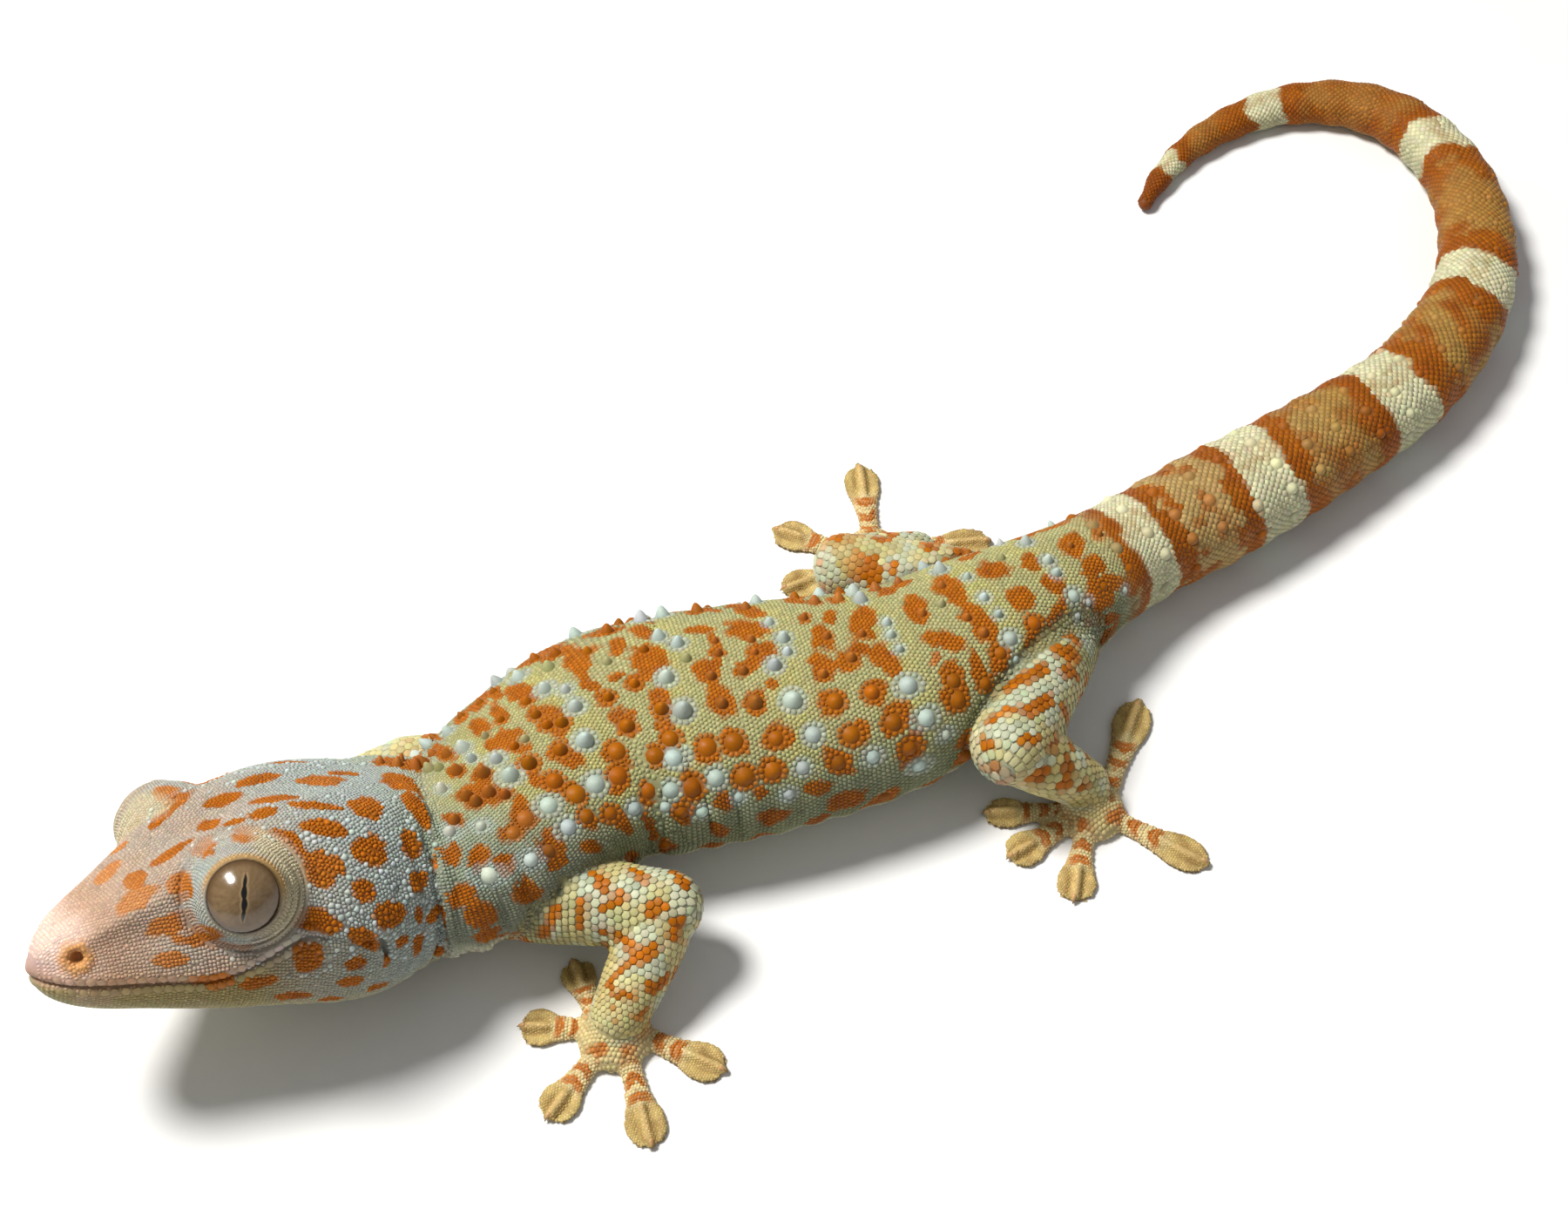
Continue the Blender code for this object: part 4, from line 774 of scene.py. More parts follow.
def mark_long(p, v, f, half):
    """Colour of head, trunk and tail at places p, station v, share round f."""
    n = len(v)
    w = f * half
    af = np.abs(f)
    n1, n2, n3 = noise3(p, 1.3, 3), noise3(p, 3.5, 4), noise3(p, 0.55, 5)
    hc = head_coords(p)
    # trunk ground colour
    base = np.repeat(SAGE[None], n, 0)
    # greyer and darker down the flanks and their lower edge: partly the animal's own colour, partly painted shade of
    # the sides turned from the key light
    base = mix(base, FLANK[None], smooth(0.20, 0.42, np.abs(f - MIDDLE)))
    base = mix(base, FLANK_LOW[None], smooth(0.42, 0.54, af))
    near_row = np.zeros(n)
    for r in PALE_ROWS:
        near_row = np.maximum(near_row, np.exp(-(((v - r + 1.6 * af + (n2 - 0.5) * 2.5) / 2.3) ** 2)))
    base = mix(base, SAGE_YELLOW[None], 0.75 * near_row * (1 - smooth(0.30, 0.5, af)))
    base = mix(base, FLANK[None] * 1.06, 0.5 * near_row * smooth(0.22, 0.4, af))
    belly = smooth(0.56, 0.66, af)
    base = mix(base, BELLY[None], belly)
    # head ground colour
    back = v + 42
    head = 1 - smooth(-1, 12, v)
    hbase = np.repeat(HEAD_BLUE[None], n, 0)
    hbase = mix(hbase, HEAD_WARM[None], (1 - smooth(16, 36, back)) * (0.42 + 0.55 * n2))
    hbase = mix(hbase, SNOUT_PINK[None], 1 - smooth(5, 15, back + 3 * (n2 - 0.5)))
    hbase = mix(hbase, SNOUT_TIP[None], 0.9 * (1 - smooth(2.0, 8.0, back + 2.5 * (n2 - 0.5))))
    line = mouth_height(hc[:, 0])
    near = np.stack([hc[:, 0], np.abs(hc[:, 1]), hc[:, 2]], -1) - np.array([3.8, 4.5, 3.0])
    ring = np.linalg.norm(near, axis=1)
    mauve = np.linalg.norm((near + np.array([3.6, 3.1, 1.8])) * np.array([1, 0.6, 1]), axis=1)
    hbase = mix(hbase, lin(186, 146, 146)[None], 0.6 * (1 - smooth(0.8, 2.6, mauve)))
    hbase = mix(hbase, lin(214, 152, 84)[None], 0.9 * (1 - smooth(1.3, 2.5, ring + (n3 - .5) * .7)))
    lip = np.exp(-(((hc[:, 2] - line - 0.2) / 1.3) ** 2)) * (1 - smooth(26, 28, hc[:, 0])) * (hc[:, 2] > line - 1.2)
    hbase = mix(hbase, LIP[None], 0.75 * lip * (1 - smooth(14, 24, hc[:, 0])))
    below = smooth(0.0, -0.9, hc[:, 2] - line) * (1 - 0.72 * smooth(18.5, 27, hc[:, 0])) * (1 - smooth(30, 40, hc[:, 0]))
    hbase = mix(hbase, JAW[None], below * (0.92 - 0.35 * smooth(0.45, 0.75, n2)))
    hbase = mix(hbase, THROAT[None], smooth(0.66, 0.82, af))
    base = mix(base, hbase, head)
    # grey sides of the neck: the animal's own grey, darkened as painted shade of the sides
    neck = smooth(-4, 4, v) * (1 - smooth(15, 24, v)) * (1 - belly) * smooth(0.14, 0.32, af)
    base = mix(base, NECK_GREY[None], 0.8 * neck)
    nape = smooth(-4, 2, v) * (1 - smooth(9, 19, v)) * smooth(0.05, 0.16, af) * (1 - smooth(0.3, 0.45, af))
    base = mix(base, lin(150, 160, 138)[None], 0.75 * nape)
    # orange blotches of the trunk, round the orange tubercles
    wob = (n1 - 0.5) * 0.55 + (n3 - 0.5) * 0.35
    mask, pale = spot_mask(v, w, half, SPOTS, wob * 1.05, 0.16, (1.06, 1.06, 0.0))
    # low row of squarish spots along the flank's lower edge, past the last of the others
    low = np.zeros(n)
    for k in range(10):
        low_v = 33 + 6.6 * k
        for s in (1, -1):
            d = ((v - low_v - 1.5 * s) / 1.7) ** 2 + ((w - s * (0.545 + 0.015 * ((k * 7) % 3)) * half) / 1.3) ** 2
            low = np.maximum(low, np.exp(-d * 0.8))
    mask = np.maximum(mask, smooth(0.42, 0.52, low + wob * 0.35))
    # small belly specks
    cd, cr = cells3(p, 4.6, 9)
    specks = (cd < 0.55 + 0.45 * cr) & (af > 0.60) & (v > 10) & (v < 100)
    m2, t2 = spot_mask(v, w, half, HEAD_SPOTS, wob * 0.75)
    mirrored = tuple(q[:1] + (-q[1],) + q[2:4] + (-q[4],) + q[5:] for q in HEAD_SPOTS if q[1] > 0.25)
    m3, t3 = spot_mask(v, w, half, mirrored, wob * 0.75)
    for m, t in ((m2, t2), (m3, t3)):
        more = m > mask
        mask[more] = m[more]
        pale[more] = t[more]
    orange = mix(np.repeat(ORANGE[None], n, 0), ORANGE_DEEP[None], np.clip(0.15 + 0.9 * (n1 - 0.45) + 0.5 * (n3 - 0.5), 0, 1))
    orange = mix(orange, ORANGE_PALE[None], np.clip(pale, 0, 1) * 0.85)
    orange = mix(orange, ORANGE_PALE[None], 0.5 * (1 - smooth(8, 17, back)))
    # orange spots darker down the flanks: painted shade of the sides turned from the key light
    orange = orange * (1 - 0.22 * smooth(0.20, 0.44, af) * smooth(4, 18, v))[:, None]
    colour = mix(base, orange, mask)
    colour[specks] = colour[specks] * 0.4 + ORANGE * 0.6
    # pale rosettes round the pale tubercles, the cones' own colours
    for tv, tf, tr, th, kind in TUBERCLES:
        if kind == 2:
            continue
        near = np.abs(v - tv) < 3
        d = np.sqrt((v[near] - tv) ** 2 + (w[near] - tf * half[near]) ** 2)
        if kind == 1:
            m = 1 - smooth(tr + 0.25, tr + 0.85, d)
            colour[near] = mix(colour[near], PALE_BLUE[None] * 0.86, 0.5 * m)
        elif kind == 3:
            m = 1 - smooth(tr + 0.05, tr + 0.4, d)
            colour[near] = mix(colour[near], SAGE[None] * 0.9, 0.6 * m)
        else:
            m = 1 - smooth(tr + 0.05, tr + 0.55, d + (n3[near] - .5) * .7)
            colour[near] = mix(colour[near], ORANGE[None] * (0.85 if tv < 15 else 0.95), 0.9 * m)
    # tail
    tail = v > 98
    if tail.any():
        vt, ft, pt = v[tail], f[tail], p[tail]
        nn, nb = noise3(pt, 2.2, 21), noise3(pt, 0.8, 22)
        edge = (nn - 0.5) * 2.4 + (nb - 0.5) * 1.0
        white = np.zeros(len(vt))
        gap = np.full(len(vt), 99.0)
        for c, h in TAIL_BANDS:
            d = np.abs(vt - c + 0.6 * np.sin(ft * 9)) - h + edge * 0.55
            white = np.maximum(white, 1 - smooth(-0.35, 0.35, d))
            gap = np.minimum(gap, d)
        blot = noise3(pt, 3.0, 24)
        tan = smooth(3.2, 5.6, gap + edge * 1.3 + 2.6 * (blot - 0.5))
        tan *= (1 - 0.55 * smooth(165, 225, vt)) * np.clip(2.2 * blot - 0.35, 0.05, 1)
        dark = mix(np.repeat(TAIL_ORANGE[None], len(vt), 0), ORANGE_DEEP[None], np.clip(nn * 1.4 - 0.2, 0, 1) * 0.8)
        early = 1 - smooth(122, 150, vt)
        wide = smooth(2.2, 3.4, gap + edge * 1.1 + 3.4 * (blot - 0.5)) * smooth(0.40, 0.52, noise3(pt, 2.0, 27) + 0.03)
        tan = np.maximum(tan, early * wide)
        tone = mix(np.repeat(TAIL_TAN[None], len(vt), 0), lin(176, 150, 98)[None], 0.7 * early)
        band = mix(dark, tone, np.clip(tan * (0.80 + 0.4 * nb), 0, 1))
        pale_t = mix(np.repeat(TAIL_WHITE[None], len(vt), 0), FLANK_LOW[None], 0.35 * smooth(0.25, 0.5, np.abs(ft)))
        pale_t = mix(pale_t, TAIL_TAN[None], 0.55 * np.clip(smooth(0.16, 0.02, np.abs(ft - MIDDLE)) * (nb * 1.6 - 0.2), 0, 1))
        col = mix(band, pale_t, white)
        under = smooth(0.62, 0.8, np.abs(ft))
        col = mix(col, col * 0.6 + TAIL_WHITE[None] * 0.4, under)
        t = smooth(98, 104.2, vt + 2.2 * (nn - 0.5))[:, None]
        colour[tail] = colour[tail] * (1 - t) + col * t
        tip = smooth(264.2, 265.6, vt)[:, None]
        colour[tail] = colour[tail] * (1 - tip) + ORANGE_DEEP * 0.9 * tip
    return np.clip(colour, 0, 1)


BROW_SPOTS = ((1.6, 6.1, 1.9, .8, .35), (-3.8, 5.6, 1.5, 1.2, .1), (6.9, 1.0, .8, 1.2, .9), (-6.4, 1.6, 1.3, 1.9, 0),
              (-5.2, -3.9, 2.4, 1.1, .1))


def mark_brow(p, side):
    """The mound round an eye takes the head's spots, with the lid's own tones near the eye."""
    n = len(p)
    n2, n3 = noise3(p, 2.2, 14), noise3(p, 0.6, 15)
    fwd, high, look = eye_axes(side)
    q = p - eye_centre(side)
    x, y = q @ fwd, q @ high
    rho = np.hypot(x, y)
    col = mix(np.repeat(HEAD_BLUE[None], n, 0), HEAD_WARM[None], np.clip(0.35 * n2 + 0.4 * smooth(-2, 3, x), 0, 1))
    for cx, cy, rx, ry, tone in BROW_SPOTS:
        e = np.sqrt(((x - cx) / rx) ** 2 + ((y - cy) / ry) ** 2) + (n3 - 0.5) * 0.5
        m = (1 - smooth(0.85, 1.15, e)) * (q @ look < 2.5)
        tint = ORANGE * (1 - tone) + ORANGE_PALE * tone
        col = mix(col, tint[None], m)
    front = smooth(0.8, 3.6, x) * (1 - smooth(5.8, 6.8, rho))
    col = mix(col, lin(186, 176, 146)[None], (0.8 if side > 0 else 0.35) * front)
    over = smooth(-1.5, 2.0, y + 0.25 * x) * (1 - smooth(4.35, 4.75, rho))
    over = over * smooth(0.6, 1.8, q @ look) * (1.0 if side > 0 else 0.25)
    col = mix(col, lin(184, 142, 76)[None], 0.85 * over)
    under = (1 - smooth(4.4, 4.9, rho)) * smooth(-0.5, -2.5, y)
    col = mix(col, lin(150, 136, 108)[None], 0.6 * under)
    col = mix(col, lin(64, 46, 26)[None], 0.85 * (1 - smooth(3.98, 4.2, rho)) * (q @ look > 0))
    return np.clip(col, 0, 1)


def streaks(p, label, n1, n3):
    gap = np.full(len(p), 9.0)
    for q in LIMB_SPOTS[label]:
        a, b = np.array(q[:3]), np.array(q[3:6])
        if np.linalg.norm(b - a) < 0.1:
            b = a + 0.1
        t = np.clip((p - a) @ (b - a) / np.dot(b - a, b - a), 0, 1)
        gap = np.minimum(gap, np.linalg.norm(p - (a + t[:, None] * (b - a)), axis=1) - q[6] * (1.0 if label[0] in "ah" else 1.12))
    return 1 - smooth(-0.30, 0.26, gap + (n1 - 0.5) * 0.7 + (n3 - 0.5) * 0.3)


def mark_limb(p, label, which, s, w, f):
    n = len(p)
    n1, n2, n3 = noise3(p, 1.1, 31), noise3(p, 4.0, 32), noise3(p, 0.5, 33)
    base = mix(np.repeat(LIMB_CREAM[None], n, 0), LIMB_YELLOW[None], np.clip(n2 * 1.3 - 0.25, 0, 1))
    if which == "upper":
        base = mix(base, FLANK_LOW[None], 0.5 * (1 - smooth(3, 10, s)))
        base = mix(base, lin(178, 180, 138)[None], 0.35 * n1)
    under = smooth(0.62, 0.85, np.abs(f))
    base = mix(base, BELLY[None], under)
    base = mix(base, lin(184, 194, 172)[None], 0.7 * smooth(0.46, 0.66, noise3(p, 2.6, 36)))
    flat = np.stack([s * 1.12 + 0.10 * np.abs(w), w * 0.72, np.full(n, 3.0 * len(label) + 7.0 * len(which))], -1)
    d, r = cells3(flat * np.array([1, 1, 1]), 3.1, 35 + len(label))
    more = {"arm": 0.14, "leg": 0.22}[label[:3]] if which == "upper" else 0.04
    m = 1 - smooth(-0.14, 0.14, d - (0.90 + more + 0.74 * r) + (n1 - 0.5) * 0.9)
    if label in LIMB_SPOTS:
        # the near limbs' own streaks, and the cells only where those leave off
        lower = smooth(0.42, 0.55, np.abs(f))
        m = np.maximum(m * lower, streaks(p, label, n1, n3))
    m = m * (1 - 0.75 * under)
    orange = mix(np.repeat(ORANGE[None] * 1.05, n, 0), ORANGE_DEEP[None], np.clip(n1 * 0.9 - 0.1, 0, 1) * 0.6)
    orange = mix(orange, lin(200, 140, 74)[None], np.clip(n3 * 1.3 - 0.7, 0, 1) * 0.6)
    return np.clip(mix(base, orange, m), 0, 1)


def mark_palm(p, name):
    n = len(p)
    n1, n2 = noise3(p, 1.0, 41), noise3(p, 3.0, 42)
    base = mix(np.repeat(lin(196, 178, 120)[None], n, 0), TOE_CREAM[None], np.clip(n2 * 1.2 - 0.2, 0, 1))
    d, r = cells3(p * np.array([1, 1, 0.2]), 2.5, 43)
    m = 1 - smooth(-0.12, 0.12, d - (0.50 + 0.75 * r) + (n1 - 0.5) * 0.6)
    if name in LIMB_SPOTS:
        m = streaks(p, name, n1, n2)
    return np.clip(mix(base, TOE_BAR[None], m * 0.95), 0, 1)


def mark_toe(p, share, x):
    """Bars across the toe's root, then the pad with its pale ridge."""
    n = len(p)
    n1, n3 = noise3(p, 1.2, 51), noise3(p, 0.5, 52)
    bend = share - 0.075 * np.abs(x) ** 1.6 + 0.05 * (n1 - 0.5)
    wave = np.sin((bend - 0.05) * TAU / 0.185)
    bars = smooth(-0.35, 0.10, wave + 1.3 * (n3 - 0.5)) * (1 - smooth(0.50, 0.60, share)) * (1 - 0.85 * smooth(0.55, 0.9, np.abs(x)))
    fold = np.sin((bend - 0.05) * TAU / 0.062)
    bars = bars * (0.80 + 0.20 * smooth(-0.6, 0.2, fold))
    root = mix(np.repeat(TOE_CREAM[None], n, 0), TOE_BAR[None], bars)
    pad = mix(np.repeat(PAD[None], n, 0), lin(158, 128, 74)[None], np.clip(n1 * 1.4 - 0.4, 0, 1))
    ax = np.abs(x)
    # darker strips beside the ridge: painted shade in the pad's hollows
    pad = mix(pad, PAD_GROOVE_SHADE[None], 0.6 * np.exp(-(((ax - 0.36) / 0.13) ** 2)) * smooth(0.6, 0.74, share))
    pad = mix(pad, PAD_RIDGE[None], 0.8 * np.exp(-((ax / 0.20) ** 4)) * smooth(0.55, 0.7, share))
    pad = mix(pad, lin(206, 180, 120)[None], 0.5 * smooth(0.8, 0.98, ax))
    t = smooth(0.46, 0.60, share + 0.08 * (n1 - 0.5) - 0.05 * (1 - ax))
    return np.clip(mix(root, pad, t), 0, 1)


# ---- lookup: which part a point lies on, and where on it ------------------------------
class Lookup:
    """Nearest place on the parts' grids, with the station and arc length there."""

    def __init__(self, parts):
        self.parts = parts
        pts, idx, tv, tw, v, w, h = [], [], [], [], [], [], []
        for p in parts:
            g = p["grid"]
            n, m = g.shape[:2]
            pts.append(g.reshape(-1, 3))
            idx.append(np.full(n * m, p["index"]))
            tv.append(np.gradient(g, p["v"], axis=0).reshape(-1, 3))
            tw.append(unit(np.roll(g, 1, 1) - np.roll(g, -1, 1)).reshape(-1, 3))
            v.append(np.repeat(p["v"], m))
            w.append(p["arc"].reshape(-1))
            h.append(np.repeat(p["half"], m))
        self.pts, self.idx, self.tv, self.tw, self.v, self.w, self.h = (
            np.concatenate(q) for q in (pts, idx, tv, tw, v, w, h))
        tree = KDTree(len(self.pts))
        for i, q in enumerate(self.pts.tolist()):
            tree.insert(q, i)
        tree.balance()
        self.tree = tree

    def find(self, points):
        """Nearest sample of each point, and the nearest one of another part close by."""
        n = len(points)
        a, da = np.zeros(n, int), np.zeros(n)
        b, db = np.full(n, -1), np.full(n, 99.0)
        idx = self.idx
        for i, q in enumerate(np.asarray(points).tolist()):
            found = self.tree.find_n(q, 9)
            a[i], da[i] = found[0][1], found[0][2]
            own = idx[found[0][1]]
            for _, k, d in found[1:]:
                if idx[k] != own:
                    b[i], db[i] = k, d
                    break
        return a, da, b, db

    def place(self, points, k):
        d = points - self.pts[k]
        tv, tw = self.tv[k], self.tw[k]
        dv = np.einsum("ij,ij->i", d, tv) / np.maximum(np.einsum("ij,ij->i", tv, tv), 1e-6)
        dw = np.einsum("ij,ij->i", d, tw)
        return self.v[k] + np.clip(dv, -1.2, 1.2), self.w[k] + np.clip(dw, -1.2, 1.2), self.h[k]

    def colour_on(self, points, k):
        out = np.zeros((len(points), 3))
        v, w, h = self.place(points, k)
        h = np.maximum(h, 0.3)
        own = self.idx[k]
        for i in np.unique(own):
            p = self.parts[i]
            s = own == i
            q, f = points[s], np.clip(w[s] / h[s], -1, 1)
            if p["kind"] == "long":
                out[s] = mark_long(q, v[s], f, h[s])
            elif p["kind"] == "brow":
                out[s] = mark_brow(q, 1 if p["name"].endswith("left") else -1)
            elif p["kind"] == "limb":
                label, which = p["name"].rsplit("_", 1)
                out[s] = mark_limb(q, label, which, v[s], w[s], f)
            elif p["kind"] == "palm":
                out[s] = mark_palm(q, p["name"])
            else:
                label, number = self.toe_of(p["name"])
                start, ahead, side, length, wide = toe_frame(label, number)
                share = np.clip((q - start) @ ahead / length, 0, 1)
                half = table_at([t[0] for t in TOE_FINE], [t[1] for t in TOE_FINE], share) * wide
                out[s] = mark_toe(q, share, np.clip(((q - start) @ side) / half, -1, 1))
        return out

    def toe_of(self, name):
        limb, side, _, number = name.split("_")
        return ("arm_" if limb == "hand" else "leg_") + side, int(number)

    def colour(self, points):
        points = np.asarray(points, float)
        a, da, b, db = self.find(points)
        out = self.colour_on(points, a)
        kind = np.array([p["kind"] for p in self.parts])
        ka, kb = kind[self.idx[a]], kind[self.idx[np.maximum(b, 0)]]
        reach = np.where((ka == "limb") & (kb == "long") | (ka == "long") & (kb == "limb"), 0.55, 1.3)
        two = (b >= 0) & (db - da < reach)
        if two.any():
            other = self.colour_on(points[two], b[two])
            t = 0.5 * (1 - smooth(0, 1, (db - da)[two] / reach[two]))
            out[two] = mix(out[two], other, t)
        # cream folds before each eye
        for side in (1, -1):
            fwd, high, axis = eye_axes(side)
            q = points - eye_centre(side)
            x, y = q @ fwd, q @ high
            rho = np.hypot(x, y)
            m = smooth(0.6, 3.4, x) * smooth(4.5, 5.1, rho) * (1 - smooth(6.4, 7.4, rho)) * (q @ axis > -3.5)
            m = m * (1 - 0.5 * smooth(2.0, 4.0, -y))
            out = mix(out, lin(198, 186, 152)[None], 0.72 * m)
        # the shaded crease where a limb leaves the body
        crease = (b >= 0) & ((ka == "limb") & (kb == "long") | (ka == "long") & (kb == "limb"))
        arm = np.array([p["name"].startswith("arm") for p in self.parts])
        deep = np.where(arm[self.idx[a]] | arm[self.idx[np.maximum(b, 0)]], 0.12, 0.34)
        out[crease] *= (1 - deep[crease] * (1 - smooth(0.15, 0.90, (db - da)[crease])))[:, None]
        return out


# ---- the skin --------------------------------------------------------------------------
def mesh_from(name, verts, faces, scale=MM):
    mesh = bpy.data.meshes.new(name)
    verts = np.asarray(verts, np.float32) * scale
    mesh.vertices.add(len(verts))
    mesh.vertices.foreach_set("co", verts.ravel())
    faces = [np.asarray(f, np.int32) for f in faces if len(f)]
    loops = np.concatenate([f.ravel() for f in faces])
    counts = np.concatenate([np.full(len(f), f.shape[1]) for f in faces])
    mesh.loops.add(len(loops))
    mesh.loops.foreach_set("vertex_index", loops)
    mesh.polygons.add(len(counts))
    mesh.polygons.foreach_set("loop_start", np.concatenate([[0], np.cumsum(counts)[:-1]]).astype(np.int32))
    mesh.update(calc_edges=True)
    mesh.shade_smooth()
    return mesh


def link(name, mesh):
    obj = bpy.data.objects.new(name, mesh)
    bpy.context.scene.collection.objects.link(obj)
    return obj


def coords(mesh):
    co = np.zeros(len(mesh.vertices) * 3, np.float32)
    mesh.vertices.foreach_get("co", co)
    return co.reshape(-1, 3).astype(float)


def normals(mesh):
    no = np.zeros(len(mesh.vertices) * 3, np.float32)
    mesh.vertex_normals.foreach_get("vector", no)
    return no.reshape(-1, 3).astype(float)


def set_coords(mesh, co):
    mesh.vertices.foreach_set("co", np.asarray(co, np.float32).ravel())
    mesh.update()


def edges_of(mesh):
    e = np.zeros(len(mesh.edges) * 2, np.int32)
    mesh.edges.foreach_get("vertices", e)
    return e.reshape(-1, 2)


def laplacian(co, edges, degree):
    out = np.zeros_like(co)
    n = len(co)
    for k in range(3):
        out[:, k] = (np.bincount(edges[:, 0], co[edges[:, 1], k], n) + np.bincount(edges[:, 1], co[edges[:, 0], k], n))
    return out / degree[:, None] - co


def relax(mesh, steps, amount=0.5, weight=None):
    co, edges = coords(mesh), edges_of(mesh)
    degree = np.maximum(np.bincount(edges.ravel(), minlength=len(co)), 1)
    w = 1.0 if weight is None else weight[:, None]
    for _ in range(steps):
        co = co + laplacian(co, edges, degree) * amount * w
        co = co - laplacian(co, edges, degree) * amount * 1.03 * w
    set_coords(mesh, co)


def fill_creases(mesh, steps, weight):
    """Rounds the hollows where two parts meet, moving the skin outward only."""
    edges = edges_of(mesh)
    co = coords(mesh)
    degree = np.maximum(np.bincount(edges.ravel(), minlength=len(co)), 1)
    for k in range(steps):
        if k % 4 == 0:
            set_coords(mesh, co)
            no = normals(mesh)
        lap = laplacian(co, edges, degree)
        out = np.einsum("ij,ij->i", lap, no)
        co = co + no * (np.maximum(out, 0) * 0.9 * weight)[:, None]
    set_coords(mesh, co)


def calm(mesh, steps, weight):
    """Evens the skin out where the weight is."""
    co, edges = coords(mesh), edges_of(mesh)
    degree = np.maximum(np.bincount(edges.ravel(), minlength=len(co)), 1)
    chosen = weight > 0.02
    edges = edges[chosen[edges].any(1)]
    for _ in range(steps):
        co = co + laplacian(co, edges, degree) * (0.5 * weight * chosen)[:, None]
    set_coords(mesh, co)


def line_distance(q, a, b):
    a, b = np.asarray(a, float), np.asarray(b, float)
    t = np.clip(((q - a) @ (b - a)) / np.dot(b - a, b - a), 0, 1)
    return np.linalg.norm(q - (a + t[:, None] * (b - a)), axis=1)


def bell(x, width):
    return np.exp(-((x / width) ** 2))


def sculpt_head(co, v, f):
    """Outward displacement of head and neck skin, in mm."""
    hc = head_coords(co)
    b, s, h = hc.T
    a = np.abs(s)
    up = np.zeros(len(co))
    line = mouth_height(b)
    d = h - line
    along = (1 - smooth(27.0, 28.4, b)) * (b > -2)
    up += along * (-(0.30 + 0.12 * (1 - smooth(4, 14, b))) * bell(d, 0.25) + 0.26 * bell(d - 0.9, 0.6) + 0.10 * bell(d + 0.75, 0.45))
    q = np.stack([b, a, h], -1)
    near = np.array([3.8, 4.5, 3.0])
    # the nostril, with its swollen rim
    dist = np.linalg.norm(q - near, axis=1)
    up += 0.30 * bell(dist - 1.35, 0.55) - 1.25 * (1 - smooth(0.50, 0.92, dist))
    # ridges from nostril to brow, hollows before the eye and on the forehead
    up += 0.42 * bell(line_distance(q, (5.2, 4.4, 4.6), (13.8, 7.6, 8.6)), 0.95)
    up -= 0.62 * bell(np.linalg.norm((q - (10.4, 7.6, 4.2)) * (0.7, 1, 1.15), axis=1), 2.3)
    top = h > 2
    up -= top * 0.85 * bell(s, 3.2) * smooth(11, 15, b) * (1 - smooth(22, 27, b))
    up -= top * 0.35 * bell(s, 1.8) * smooth(4, 7, b) * (1 - smooth(9, 12, b))
    up += top * 0.25 * bell(a - 5.2, 1.6) * smooth(25, 28, b) * (1 - smooth(34, 38, b))
    # muscle of the jaw, and the fold from the corner of the mouth to the ear
    up += 0.45 * bell(np.linalg.norm((q - (29.0, 14.6, 3.6)) * (0.55, 0.6, 0.8), axis=1), 2.6)
    up -= 0.40 * bell(line_distance(q, (27.3, 14.2, 1.2), (32.2, 15.4, -0.6)), 0.42)
    # the ear: a tall slot with a rim before it
    e = np.sqrt(((b - 33.9 + 0.28 * (h + 1.9)) / 0.50) ** 2 + ((h + 1.9) / 1.7) ** 2)
    lateral = a > 9
    up += lateral * (-0.9 * (1 - smooth(0.50, 1.1, e)) + 0.32 * bell(e - 1.7, 0.5) * (b < 34.4))
    up -= lateral * 0.35 * bell(line_distance(q, (34.4, 14.6, 0.6), (36.8, 14.4, 4.6)), 0.5)
    # upright folds of the neck
    af = np.abs(f)
    place = smooth(-8, -3, v) * (1 - smooth(13, 18, v)) * smooth(0.20, 0.34, af) * (1 - smooth(0.72, 0.85, af))
    n = noise3(co, 4.0, 61) * 3.2 + noise3(co, 1.4, 62) * 0.8
    wave = np.sin(v * TAU / 2.35 + n + af * 5)
    up += place * (0.24 * wave - 0.10 * smooth(-0.4, -0.8, wave)) * smooth(-6, 2, v)
    # gular folds under the throat
    gular = smooth(0.74, 0.84, af) * smooth(-26, -14, v) * (1 - smooth(6, 14, v))
    up += gular * 0.12 * np.sin(v * TAU / 3.1 + n)
    return up


def sculpt_lids(co, side):
    """Ring folds round an eye: thick ochre lid, then finer folds before and below it."""
    fwd, high, look = eye_axes(side)
    q = co - eye_centre(side)
    x, y, z = q @ fwd, q @ high, q @ look
    rho = np.hypot(x, y)
    ang = np.arctan2(y, x)
    here = smooth(-2.4, -0.8, z)
    ahead = 0.5 + 0.5 * np.cos(ang + 0.25)
    # fwd looks along the head, so x > 0 is toward the snout
    lid = table_at((3.4, 3.62, 3.80, 3.95, 4.10, 4.30, 4.50, 4.70, 4.90, 5.08, 5.25, 5.5, 7.6),
                   (0.0, 0.30, 0.62, 0.86, 0.94, 0.84, 0.60, 0.32, 0.10, -0.06, -0.10, 0.0, 0.0), np.clip(rho, 3.4, 7.6))
    front = smooth(0.15, 0.75, ahead)
    folds = (0.46 * bell(rho - 5.40, 0.24) - 0.22 * bell(rho - 5.78, 0.16) + 0.36 * bell(rho - 6.12, 0.24)
             - 0.14 * bell(rho - 6.50, 0.18) + 0.18 * bell(rho - 6.85, 0.24)) * front * (1 - 0.25 * bell(y + 1.0 - 0.5 * x, 1.6))
    # behind and below, the mound falls away sooner
    back = 1 - smooth(0.25, 0.8, ahead)
    sink = -0.75 * bell(rho - 6.3, 0.95) * back
    return (lid * (1 - 0.25 * back) + folds + sink) * here * (rho < 8.4)


